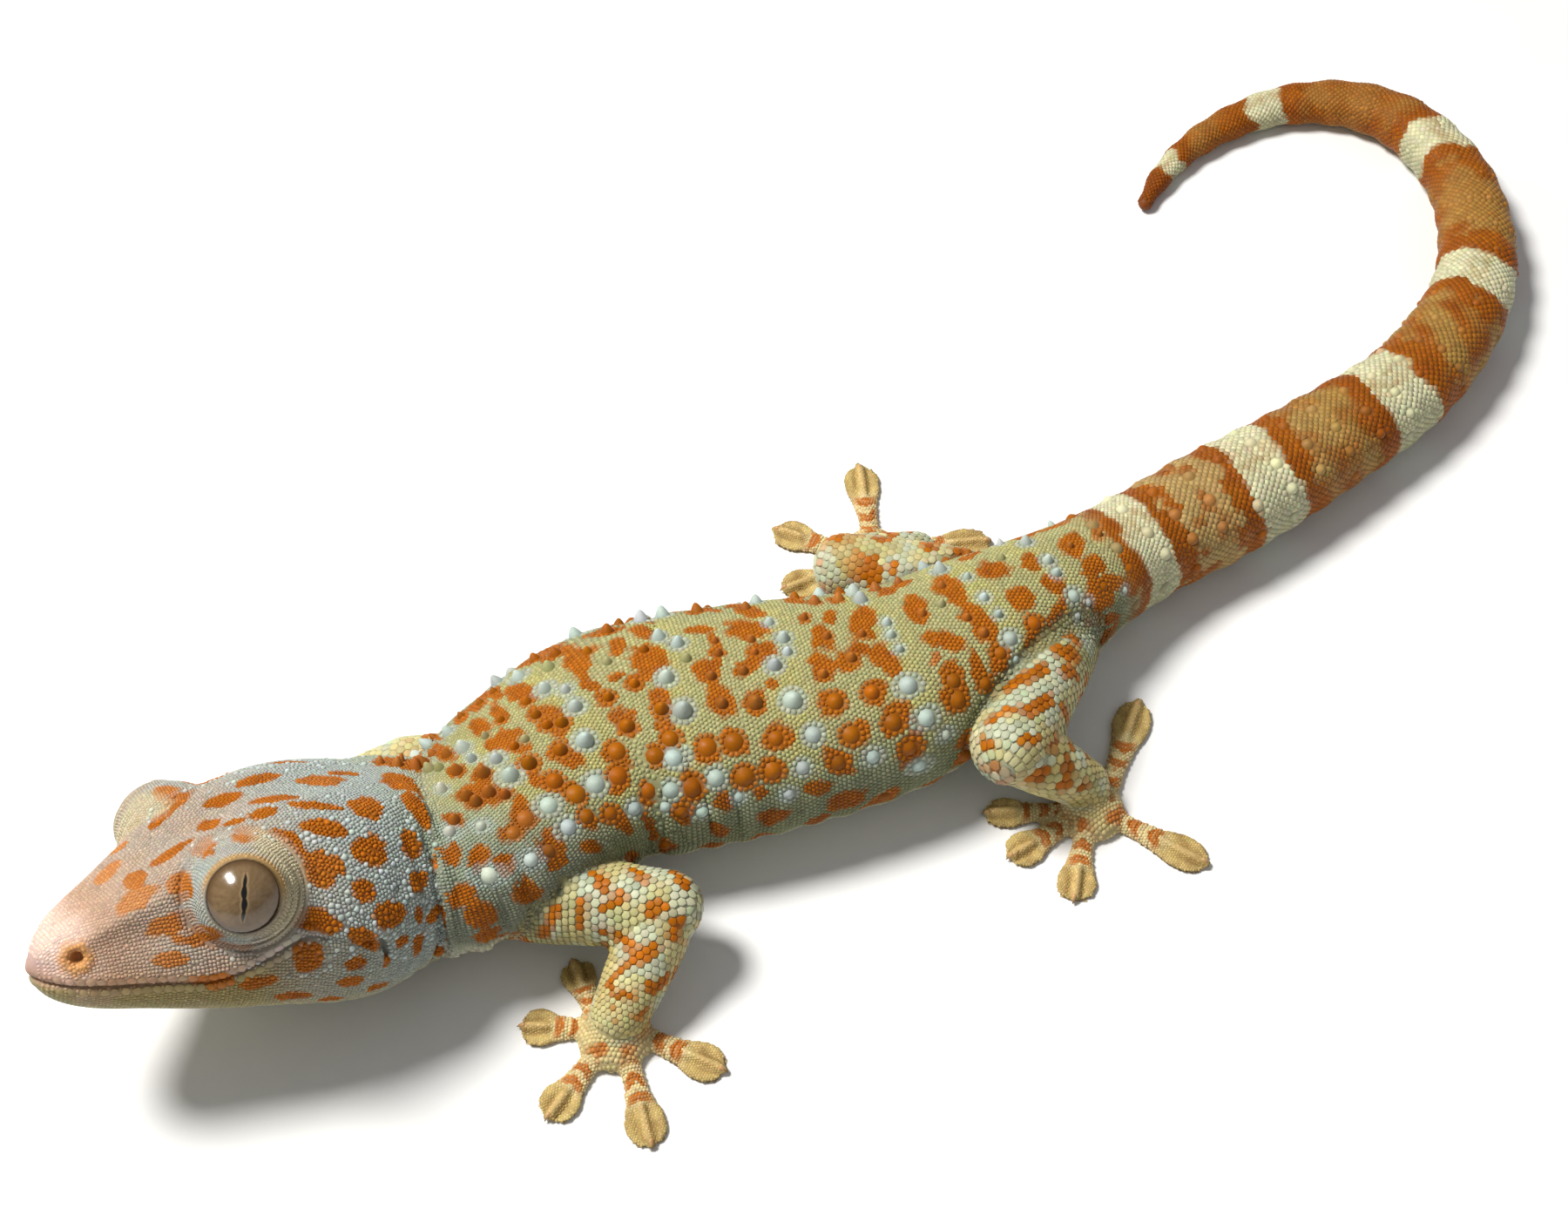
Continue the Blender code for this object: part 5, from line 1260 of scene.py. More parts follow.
def sculpt_toe(co, label, number):
    """The pad's raised ridge, the hollows beside it and the swollen edges; folds across the root."""
    start, ahead, side, length, wide = toe_frame(label, number)
    share = np.clip((co - start) @ ahead / length, 0, 1)
    half = table_at([t[0] for t in TOE_FINE], [t[1] for t in TOE_FINE], share) * wide
    x = np.clip(((co - start) @ side) / half, -1.2, 1.2)
    bow = 0.10 * math.sin(number * 2.3 + len(label)) * smooth(0.5, 0.95, share)
    pad = smooth(0.48, 0.62, share)
    mm = np.abs(x - bow) * half
    up = pad * (0.42 * bell(mm, 0.44) - 0.28 * bell(mm - 0.92, 0.40)) * (1 - 0.4 * smooth(0.88, 0.95, share))
    up += pad * 0.12 * bell(half - mm - 0.45, 0.3)
    root = 1 - smooth(0.44, 0.58, share)
    up += root * 0.09 * np.sin((share * length - 0.5 * np.abs(x)) * TAU / 0.95)
    return up


def build_skin(parts):
    verts, quads, tris, n = [], [], [], 0
    for p in parts:
        v, q, t = shell(p)
        verts.append(v), quads.append(q + n), tris.append(t + n)
        n += len(v)
    source = link("shells", mesh_from("shells", np.concatenate(verts), [np.concatenate(quads), np.concatenate(tris)], 1.0))
    mod = source.modifiers.new("one", "REMESH")
    mod.mode, mod.voxel_size, mod.adaptivity = "VOXEL", (0.5), 0.0
    graph = bpy.context.evaluated_depsgraph_get()
    mesh = bpy.data.meshes.new_from_object(source.evaluated_get(graph))
    bpy.data.objects.remove(source)
    mesh.name = "skin"
    relax(mesh, 2)
    return mesh


def refine(mesh, region):
    """Halves the faces whose every corner is in the region."""
    bm = bmesh.new()
    bm.from_mesh(mesh)
    bm.verts.ensure_lookup_table()
    inside = region(coords(mesh))
    edges = set()
    for face in bm.faces:
        if all(inside[q.index] for q in face.verts):
            edges.update(face.edges)
    bmesh.ops.subdivide_edges(bm, edges=list(edges), cuts=1, use_grid_fill=True)
    bm.to_mesh(mesh)
    bm.free()
    mesh.update()
    mesh.shade_smooth()


def finish_skin(mesh, look):
    co = coords(mesh)
    a, da, b, db = look.find(co)
    kinds = np.array([p["kind"] for p in look.parts])
    ka, kb = kinds[look.idx[a]], kinds[look.idx[np.maximum(b, 0)]]
    meet = (b >= 0) & (db < 2.2)
    body_limb = ((ka == "long") & (kb == "limb")) | ((ka == "limb") & (kb == "long"))
    foot = (ka == "toe") | (ka == "palm") | (kb == "toe") | (kb == "palm")
    edges = edges_of(mesh)
    degree = np.maximum(np.bincount(edges.ravel(), minlength=len(co)), 1)

    def spread(weight, times):
        for _ in range(times):
            near = np.bincount(edges[:, 0], weight[edges[:, 1]], len(co)) + np.bincount(edges[:, 1], weight[edges[:, 0]], len(co))
            weight = np.maximum(weight, 0.85 * near / degree)
        return weight

    wrist = ((ka == "palm") & (kb == "limb")) | ((ka == "limb") & (kb == "palm"))
    wrist = wrist & (db < 4.0)

    fill_creases(mesh, 14, spread(np.where(meet & ~body_limb, 1.0, np.where(meet, 0.10, 0.0)), 4))
    fill_creases(mesh, 45, spread(np.where(wrist, 1.0, 0.0), 7))
    fill_creases(mesh, 26, spread(np.where(meet & foot & (ka != "toe"), 1.0, np.where(meet & foot, 0.6, 0.0)), 5))
    toes = set(np.where(foot & (coords(mesh)[:, 2] < 4.2))[0].tolist())
    marked = np.zeros(len(co), bool)
    marked[list(toes)] = True
    refine(mesh, lambda c: (head_coords(c)[:, 0] < 40.5) | marked)
    co = coords(mesh)
    a, da, b, db = look.find(co)
    ka = kinds[look.idx[a]]
    head = 1 - smooth(-4, 0, head_coords(co)[:, 0] - 40.5)
    relax(mesh, 3, weight=np.maximum(head, np.where((ka == "toe") | (ka == "palm"), 0.6, 0.0)))
    co = coords(mesh)
    even = np.zeros(len(co))
    for side in (1, -1):
        fwd, high, axis = eye_axes(side)
        q = co - eye_centre(side)
        rho = np.hypot(q @ fwd, q @ high)
        even = np.maximum(even, bell(rho - 7.9, 1.1) * smooth(-1.0, 2.5, q @ fwd) * (q @ axis > -6))
    calm(mesh, 130, even)
    co = coords(mesh)
    a, da, b, db = look.find(co)
    v, w, h = look.place(co, a)
    f = np.clip(w / np.maximum(h, 0.3), -1, 1)
    kind = np.array([p["kind"] for p in look.parts])[look.idx[a]]
    no = normals(mesh)
    up = np.zeros(len(co))
    long_ = kind == "long"
    region = (long_ | (kind == "brow")) & (head_coords(co)[:, 0] < 62)
    vv = np.where(kind == "long", v, -20.0)
    up[region] = sculpt_head(co[region], vv[region], f[region])
    lids = np.zeros_like(co)
    for side in (1, -1):
        near = np.linalg.norm(co - eye_centre(side), axis=1) < 9.5
        lids[near] += eye_axes(side)[2] * sculpt_lids(co[near], side)[:, None]
    # folds of the flank, of the armpits, and the slight rings of the tail
    body = long_ & (v > 14)
    af = np.abs(f[body])
    up_b = 0.35 * bell(af - 0.52, 0.045) * smooth(20, 30, v[body]) * (1 - smooth(72, 84, v[body]))
    n = noise3(co[body], 5.0, 63)
    up_b += 0.16 * np.sin((v[body] + 3 * n) * TAU / 4.2) * smooth(0.28, 0.5, af) * (1 - smooth(0.66, 0.8, af)) * (v[body] < 96)
    ring = np.sin((v[body] - 101.5) * TAU / 5.6)
    up_b += 0.12 * ring * smooth(100, 112, v[body])
    up[body] += up_b
    kb = kinds[look.idx[np.maximum(b, 0)]]
    crease = (b >= 0) & ((kind == "limb") & (kb == "long") | (long_ & (kb == "limb")))
    arm = np.array([p["name"].startswith("arm") for p in look.parts])
    deep = np.where(arm[look.idx[a]] | arm[look.idx[np.maximum(b, 0)]], 0.22, 0.56)
    up[crease] -= (deep * bell(db - da, 0.62))[crease]
    # creases rising from the armpit over the shoulder
    for v0, lean, f0, f1, deep in ((38.5, 5.0, 0.22, 0.52, 0.34), (41.6, 3.0, 0.16, 0.54, 0.46), (45.0, 0.5, 0.26, 0.52, 0.30)):
        s = body.copy()
        vv_, ff = v[s], np.abs(f[s])
        away = vv_ - v0 + lean * (0.5 - ff) * 3.0 + 0.9 * (noise3(co[s], 4.0, 66) - 0.5)
        up[s] -= deep * bell(away, 0.42) * smooth(f0, f0 + 0.08, ff) * (1 - smooth(f1 - 0.05, f1 + 0.03, ff))
    limb = kind == "limb"
    if limb.any():
        n = noise3(co[limb] * np.array([1, 1, 0.6]), 2.6, 64)
        up[limb] += 0.22 * (n - 0.5)
    toe = kind == "toe"
    for i in np.unique(look.idx[a][toe]):
        s = toe & (look.idx[a] == i)
        label, number = look.toe_of(look.parts[i]["name"])
        up[s] += sculpt_toe(co[s], label, number) * (no[s][:, 2] > 0.1)
    co = co + no * up[:, None] + lids
    co[:, 2] = np.maximum(co[:, 2], 0.10)
    set_coords(mesh, co)
    relax(mesh, 1, amount=0.3)
    return mesh


# ---- the coat of scales ------------------------------------------------------------------
GRANULE, PLATE, CONE, BEAD, LABIAL = 0, 1, 2, 3, 4


class Scales:
    """Places for scales: where, how wide, how tall, of what kind, and on which piece."""

    def __init__(self):
        self.rows = []

    def add(self, piece, points, radius, height, kind, rank, uv, tint=None, ahead=None):
        n = len(points)
        if n == 0:
            return
        fill = lambda x: np.full(n, x, float) if np.ndim(x) == 0 else np.asarray(x, float)
        tint = np.full((n, 3), -1.0) if tint is None else np.asarray(tint, float)
        ahead = np.zeros((n, 3)) if ahead is None else np.asarray(ahead, float)
        self.rows.append((np.full(n, piece), np.asarray(points, float), fill(radius), fill(height), fill(kind),
                          fill(rank), np.asarray(uv, float), tint, ahead))

    def gather(self):
        return [np.concatenate([r[k] for r in self.rows]) for k in range(9)]


def ring_at(p, v):
    """Points, arc lengths and half girth of a part's ring at station v."""
    i = int(np.clip(np.searchsorted(p["v"], v) - 1, 0, len(p["v"]) - 2))
    t = np.clip((v - p["v"][i]) / (p["v"][i + 1] - p["v"][i]), 0, 1)
    mixed = lambda a: a[i] * (1 - t) + a[i + 1] * t
    return mixed(p["grid"]), mixed(p["arc"]), float(p["half"][i] * (1 - t) + p["half"][i + 1] * t)


def along_ring(p, v, w):
    ring, arc, half = ring_at(p, v)
    m, crown = len(arc), p["crown"]
    order = (crown - np.arange(-(m // 2) + 1, m // 2 + 1)) % m
    arcs, pts = arc[order], ring[order]
    arcs = np.concatenate([[-arcs[-1]], arcs])
    pts = np.concatenate([pts[-1:], pts])
    w = np.clip(w, arcs[0], arcs[-1])
    return np.stack([np.interp(w, arcs, pts[:, k]) for k in range(3)], -1), half


def lattice(p, v0, v1, pitch, f0, f1, across=1.0, row_step=0.866, jitter=0.10, seed=1, lean=0.0):
    """Staggered rows of places over a part. Pitch is a number or a function of v."""
    rng = seeded(seed)
    size = pitch if callable(pitch) else (lambda v: pitch)
    pts, vs, fs, rs, ahead = [], [], [], [], []
    v, k = v0, 0
    while v < v1:
        s = size(v)
        step = s * across
        half = ring_at(p, v)[2]
        lo, hi = f0 * half, f1 * half
        n0, n1 = math.ceil(lo / step), math.floor(hi / step)
        w = (np.arange(n0 - 1, n1 + 2) + 0.5 * (k % 2)) * step
        w = w[(w >= lo) & (w <= hi) & (np.abs(w) <= half * 0.998)]
        w = w + rng.uniform(-1, 1, len(w)) * jitter * step
        if len(w):
            q, _ = along_ring(p, v, w)
            q2, _ = along_ring(p, min(v + 0.6, p["v"][-1]), w)
            t = unit(q2 - q + 1e-9)
            # fewer places where the inside of a bend crowds the rows
            crowd = np.linalg.norm(q2 - q, axis=1) / max(min(v + 0.6, p["v"][-1]) - v, 1e-6)
            some = rng.random(len(w)) < np.clip(crowd / 0.85, 0.25, 1)
            q, w, t = q[some], w[some], t[some]
            d = rng.uniform(-1, 1, len(w)) * jitter * s
            pts.append(q + t * d[:, None])
            vs.append(v + d), fs.append(w / half), rs.append(np.full(len(w), s * 0.5)), ahead.append(t)
        v += s * row_step
        k += 1
    if not pts:
        return np.zeros((0, 3)), np.zeros(0), np.zeros(0), np.zeros(0), np.zeros((0, 3))
    return tuple(np.concatenate(q) for q in (pts, vs, fs, rs, ahead))


def plan_lattice(p, pitch, seed):
    """Places over the back of a hand or foot, in rows across the way it points."""
    rng = seeded(seed)
    limb, side = p["name"].split("_")
    spec = LIMBS[("arm_" if limb == "hand" else "leg_") + side]
    aim = math.radians(spec["aim"])
    reach = spec["spread"] * 1.08
    n = int(reach / pitch) + 2
    i, j = np.meshgrid(np.arange(-n, n + 1), np.arange(-n, n + 1), indexing="ij")
    x = i * pitch * 0.866 + rng.uniform(-1, 1, i.shape) * 0.08 * pitch
    y = (j + 0.5 * (i % 2)) * pitch + rng.uniform(-1, 1, i.shape) * 0.08 * pitch
    x, y = x.ravel(), y.ravel()
    r = np.hypot(x, y)
    ok = r < reach
    x, y, r = x[ok], y[ok], r[ok]
    share = np.array([0.2, 0.42, 0.62, 0.80, 0.93, 0.99, 1.08])
    high = np.array([3.4, 3.25, 3.0, 2.5, 1.8, 1.1, 0.5])
    z = np.interp(r / spec["spread"], share, high)
    ahead = np.array([math.cos(aim), math.sin(aim), 0.0])
    left = np.array([-ahead[1], ahead[0], 0.0])
    centre = np.array([spec["palm"][0] + CENTRE[0], spec["palm"][1] + CENTRE[1], 0.0])
    pts = centre + ahead * x[:, None] + left * y[:, None] + np.array([0, 0, 1.0]) * z[:, None]
    return pts, x / reach, y / reach, np.repeat(ahead[None], len(pts), 0)


def atlas(v, f, v0, v1, cell=0, cells=1):
    """A patch's place: the part's own length across and girth up, in one cell of a square grid."""
    n = math.ceil(math.sqrt(cells))
    u = 0.01 + 0.98 * np.clip((np.asarray(v) - v0) / (v1 - v0), 0, 1)
    w = 0.01 + 0.98 * np.clip(np.asarray(f) * 0.5 + 0.5, 0, 1)
    return np.stack([(cell % n + u) / n, (cell // n + w) / n], -1)


def place_scales(parts):
    by = {p["name"]: p for p in parts}
    long_ = by["long"]
    sc = Scales()
    coarse = 1.0
    # head
    grain = lambda v: coarse * (0.40 + 0.05 * float(smooth(-38, -26, v)) + 0.03 * float(smooth(-16, -6, v)))
    pts, v, f, r, t = lattice(long_, -41.3, -1.0, grain, -1, 1, seed=2, jitter=0.21)
    flat = np.maximum(smooth(0.70, 0.8, np.abs(f)), 1 - smooth(-36, -22, v))
    high = 0.165 - 0.10 * flat
    for piece, some in (("head_front", v < -19), ("head_rear", v >= -19)):
        sc.add(piece, pts[some], r[some], high[some], GRANULE, 2, atlas(v[some], f[some], -42, 0), ahead=t[some])
    # neck, back and flanks
    grain = lambda v: coarse * (0.40 + 0.16 * float(smooth(10, 36, v)))
    for piece, a, b in (("neck", -1.0, 23.0), ("shoulders", 23.0, 47.0), ("loins", 47.0, 72.0), ("hips", 72.0, 99.0)):
        pts, v, f, r, t = lattice(long_, a, b, grain, -0.665, 0.665, seed=3, across=1.02, jitter=0.13)
        sc.add(piece, pts, r, 0.15, GRANULE, 2, atlas(v, f, a, b), ahead=t)
    for side in ((-1, -0.665), (0.665, 1)):
        pts, v, f, r, t = lattice(long_, -1.0, 99.0, lambda v: coarse * (0.55 + 0.40 * float(smooth(4, 22, v))), *side, seed=4, jitter=0.04)
        sc.add("belly", pts, r, 0.13, PLATE, 2, atlas(v, f, -1, 99), ahead=t)
    # tail
    size = lambda v: coarse * (0.56 + 0.28 * float(smooth(101, 116, v)) - 0.22 * float(smooth(200, 268, v)))
    pts, v, f, r, t = lattice(long_, 99.0, LONG_END, size, -1, 1, seed=5, across=1.18, row_step=0.66, jitter=0.06)
    for piece, some in (("tail_root", v < 150), ("tail_end", v >= 150)):
        sc.add(piece, pts[some], r[some], 0.055, PLATE, 2, atlas(v[some], f[some], 99, LONG_END), ahead=t[some])
    # large tubercles
    for tv, tf, tr, th, kind in TUBERCLES:
        q, half = along_ring(long_, tv, np.array([tf * ring_at(long_, tv)[2]]))
        tint = {0: [ORANGE * 0.82], 1: [PALE_BLUE * 0.96], 2: None, 3: [SAGE * 0.85], 4: [lin(162, 94, 34)]}[int(kind)]
        if kind == 1 and tv < 12:
            tint = [lin(196, 200, 186)]
        # orange cones darker down the flanks, as their spots: painted shade of the sides turned from the key light
        if kind == 0 and abs(tf) > 0.20:
            tint = [ORANGE * (0.80 - 0.16 * float(smooth(0.20, 0.44, abs(tf))))]
        if kind == 0 and tv < 15 and abs(tf) < 0.24:
            tint = [ORANGE * 0.62 + lin(160, 106, 70) * 0.22]
        q2, _ = along_ring(long_, tv + 0.8, np.array([tf * half]))
        sc.add("tubercles", q, tr, th, CONE, 9, atlas([tv], [tf], -1, 228), tint, ahead=unit(q2 - q))
        if kind in (0, 1) and 16 < tv < 97 and tr > 0.7 and abs(tf) < 0.47:
            # the rosette of larger scales at its foot
            many = int(round(TAU * (tr + 0.27) / 0.70))
            turn = TAU * np.arange(many) / many + tv
            wide = (tr + 0.27) * (1 + 0.06 * np.sin(3 * turn + tf * 40))
            ring = [along_ring(long_, tv + d * math.cos(g), np.array([tf * half + d * math.sin(g)]))[0]
                    for d, g in zip(wide, turn)]
            shade = PALE_BLUE * 0.42 + SAGE * 0.42 if kind == 1 else ORANGE * 0.88
            sc.add("tubercles", np.concatenate(ring), 0.33, 0.15, GRANULE, 7,
                   atlas(np.full(many, tv), np.full(many, tf), -1, 228), np.repeat(shade[None], many, 0))
    # beads of the head: larger pale grains of cheek and temple
    rng = seeded(6)
    n = 900
    v = -25 + 27 * rng.random(n) ** 0.8
    f = (0.08 + 0.54 * rng.random(n) ** 0.8) * rng.choice([-1, 1], n)
    for vv, ff in zip(v, f):
        half = ring_at(long_, vv)[2]
        q, _ = along_ring(long_, vv, np.array([ff * half]))
        grow = 0.25 + 0.11 * rng.random()
        sc.add("head_beads", q, grow, grow * 0.75, BEAD, 6, atlas([vv], [ff], -42, 0))
    # shields of the lips
    for side in (1, -1):
        for upper in (1, 0):
            b = 1.9
            while b < 25.4:
                step = 0.94 if upper else 0.98
                h = float(mouth_height([b])[0]) + (0.74 if upper else -0.80)
                width = float(table_at(HEAD_X, HEAD_W, [b])[0]) - 0.25
                q = in_head(b, side * width, h).reshape(1, 3)
                sc.add("head_beads", q, 0.47, 0.02, LABIAL, 8,
                       atlas([b - 42], [side * (0.5 if upper else 0.6)], -42, 0), ahead=-AHEAD[None])
                b += step
    # mounds of the eyes
    for side in (1, -1):
        p = by["brow_left" if side > 0 else "brow_right"]
        pts, v, f, r, t = lattice(p, 4.2, 13.5, lambda v: coarse * 0.40, -1, 1, seed=7 + side, jitter=0.10)
        sc.add("brows", pts, r, 0.12, GRANULE, 3, atlas(v, f, 5, 14, 0 if side > 0 else 1, 4), ahead=t)
    # limbs
    names = [p["name"] for p in parts if p["kind"] == "limb"]
    for i, name in enumerate(names):
        p = by[name]
        a, b = p["v"][0], p["v"][-1]
        fine = name.endswith("upper")
        if fine:
            size = lambda v: coarse * (0.62 + 0.42 * float(smooth(1.0, 9.0, v)))
        else:
            size = lambda v: coarse * (0.98 - 0.20 * float(smooth(6.0, 12.0, v)))
        if name.startswith("leg") and not fine:
            size = lambda v: coarse * (1.34 - 0.48 * float(smooth(7.0, 14.0, v)))
        pts, v, f, r, t = lattice(p, a + 0.6, b - 0.4, size, -1, 1, seed=20 + i, jitter=0.05)
        sc.add("arms" if name.startswith("arm") else "legs", pts, r, 0.12, PLATE, 2,
               atlas(v, f, a, b, i % 4, 4), ahead=t)
    for i, p in enumerate(q for q in parts if q["kind"] == "palm"):
        pts, v, f, t = plan_lattice(p, coarse * 0.56, 30 + i)
        sc.add("feet", pts, coarse * 0.28, 0.13, GRANULE, 3, atlas(v, f, -1, 1, i, 36), ahead=t)
    for i, p in enumerate(q for q in parts if q["kind"] == "toe"):
        end = p["v"][-1]
        pts, v, f, r, t = lattice(p, 1.6, end * 0.97, lambda v: coarse * (0.44 - 0.09 * float(smooth(0.45, 0.6, v / end))),
                                  -0.60, 0.60, seed=40 + i, jitter=0.08)
        inner = np.abs(f) < 0.60 - 0.13 * smooth(0.45, 0.6, v / end)
        pts, v, f, r, t = pts[inner], v[inner], f[inner], r[inner], t[inner]
        pad = smooth(0.45, 0.58, v / end)
        sc.add("feet", pts, r, 0.10 - 0.06 * pad, GRANULE, 3, atlas(v, f, 0, end, 4 + i, 36), ahead=t)
    return sc.gather()


def settle_scales(rows, skin_mesh, look):
    """Sets each scale on the skin, drops the buried and the doubled, and gives each its cell."""
    piece, pts, radius, height, kind, rank, uv, tint, ahead = rows
    skin_mesh.calc_loop_triangles()
    co, no = coords(skin_mesh), normals(skin_mesh)
    tree = BVHTree.FromPolygons(co.tolist(), [tuple(p.vertices) for p in skin_mesh.polygons])
    faces = [p.vertices[:] for p in skin_mesh.polygons]
    n = len(pts)
    hit, nrm, dist = np.zeros((n, 3)), np.zeros((n, 3)), np.zeros(n)
    for i, q in enumerate(pts.tolist()):
        where, _, k, d = tree.find_nearest(q)
        hit[i] = where
        dist[i] = d
        nrm[i] = no[list(faces[k])].mean(0)
    nrm = unit(nrm)
    side = np.einsum("ij,ij->i", pts - hit, nrm)
    limit = np.where((kind == CONE) | (kind == LABIAL) | (kind == BEAD), 1.3, 0.62)
    onhead = head_coords(hit)[:, 0] < 41
    limit = np.where(onhead, np.maximum(limit, 1.4), limit)
    # a place that lies under the skin belongs to a part that another covers there
    keep = (dist < limit) & (side > np.where(onhead, -1.1, -0.6)) & (hit[:, 2] > 0.07)
    height = np.where(hit[:, 2] < 0.24, np.clip(hit[:, 2] - 0.05, 0.02, height), height)
    for s in (1, -1):
        fwd, high, axis = eye_axes(s)
        q = hit - eye_centre(s)
        rho = np.hypot(q @ fwd, q @ high)
        keep &= ~((rho < 4.0 + radius * 0.3) & (q @ axis > 0))
        keep &= ~((rho < 7.3) & (q @ axis > -0.5) & (kind == BEAD))
    hc = head_coords(hit)
    gap = np.abs(hc[:, 2] - mouth_height(hc[:, 0]))
    slit = (hc[:, 0] > -1) & (hc[:, 0] < 27) & (kind != LABIAL) & (gap < 0.21)
    nostril = np.minimum(*(np.linalg.norm(hc - np.array([3.8, s * 4.5, 3.0]), axis=1) for s in (1, -1))) < 0.78
    ear = (np.abs(hc[:, 1]) > 9) & (((hc[:, 0] - 33.9 + 0.28 * (hc[:, 2] + 1.9)) / 0.55) ** 2 + ((hc[:, 2] + 1.9) / 1.75) ** 2 < 1)
    keep &= ~(slit | nostril | ear)
    piece, pts, radius, height, kind, rank, uv, tint, ahead, hit, nrm, dist = (
        q[keep] for q in (piece, pts, radius, height, kind, rank, uv, tint, ahead, hit, nrm, dist))

    def neighbours(points, count):
        tree = KDTree(len(points))
        for i, q in enumerate(points.tolist()):
            tree.insert(q, i)
        tree.balance()
        ids = np.zeros((len(points), count), int)
        for i, q in enumerate(points.tolist()):
            found = tree.find_n(q, count + 1)
            got = [k for _, k, _ in found if k != i][:count]
            ids[i, :len(got)] = got
            ids[i, len(got):] = i
        return ids

    for _ in range(2):
        ids = neighbours(hit, 8)
        d = np.linalg.norm(hit[ids] - hit[:, None], axis=-1)
        own = rank[:, None] * 100 - dist[:, None] * 10 + np.arange(len(hit))[:, None] * 1e-7
        other = rank[ids] * 100 - dist[ids] * 10 + ids * 1e-7
        reach = np.where(rank[ids] > rank[:, None], radius[ids] + 0.45 * radius[:, None], 0.66 * (radius[ids] + radius[:, None]))
        lose = ((other > own) & (d < reach) & (ids != np.arange(len(hit))[:, None])).any(1)
        keep = ~lose
        piece, pts, radius, height, kind, rank, uv, tint, ahead, hit, nrm, dist = (
            q[keep] for q in (piece, pts, radius, height, kind, rank, uv, tint, ahead, hit, nrm, dist))
    ids = neighbours(hit, 12)
    return dict(piece=piece, radius=radius, height=height, kind=kind, uv=uv, tint=tint, ahead=ahead,
                at=hit, normal=nrm, near=ids)


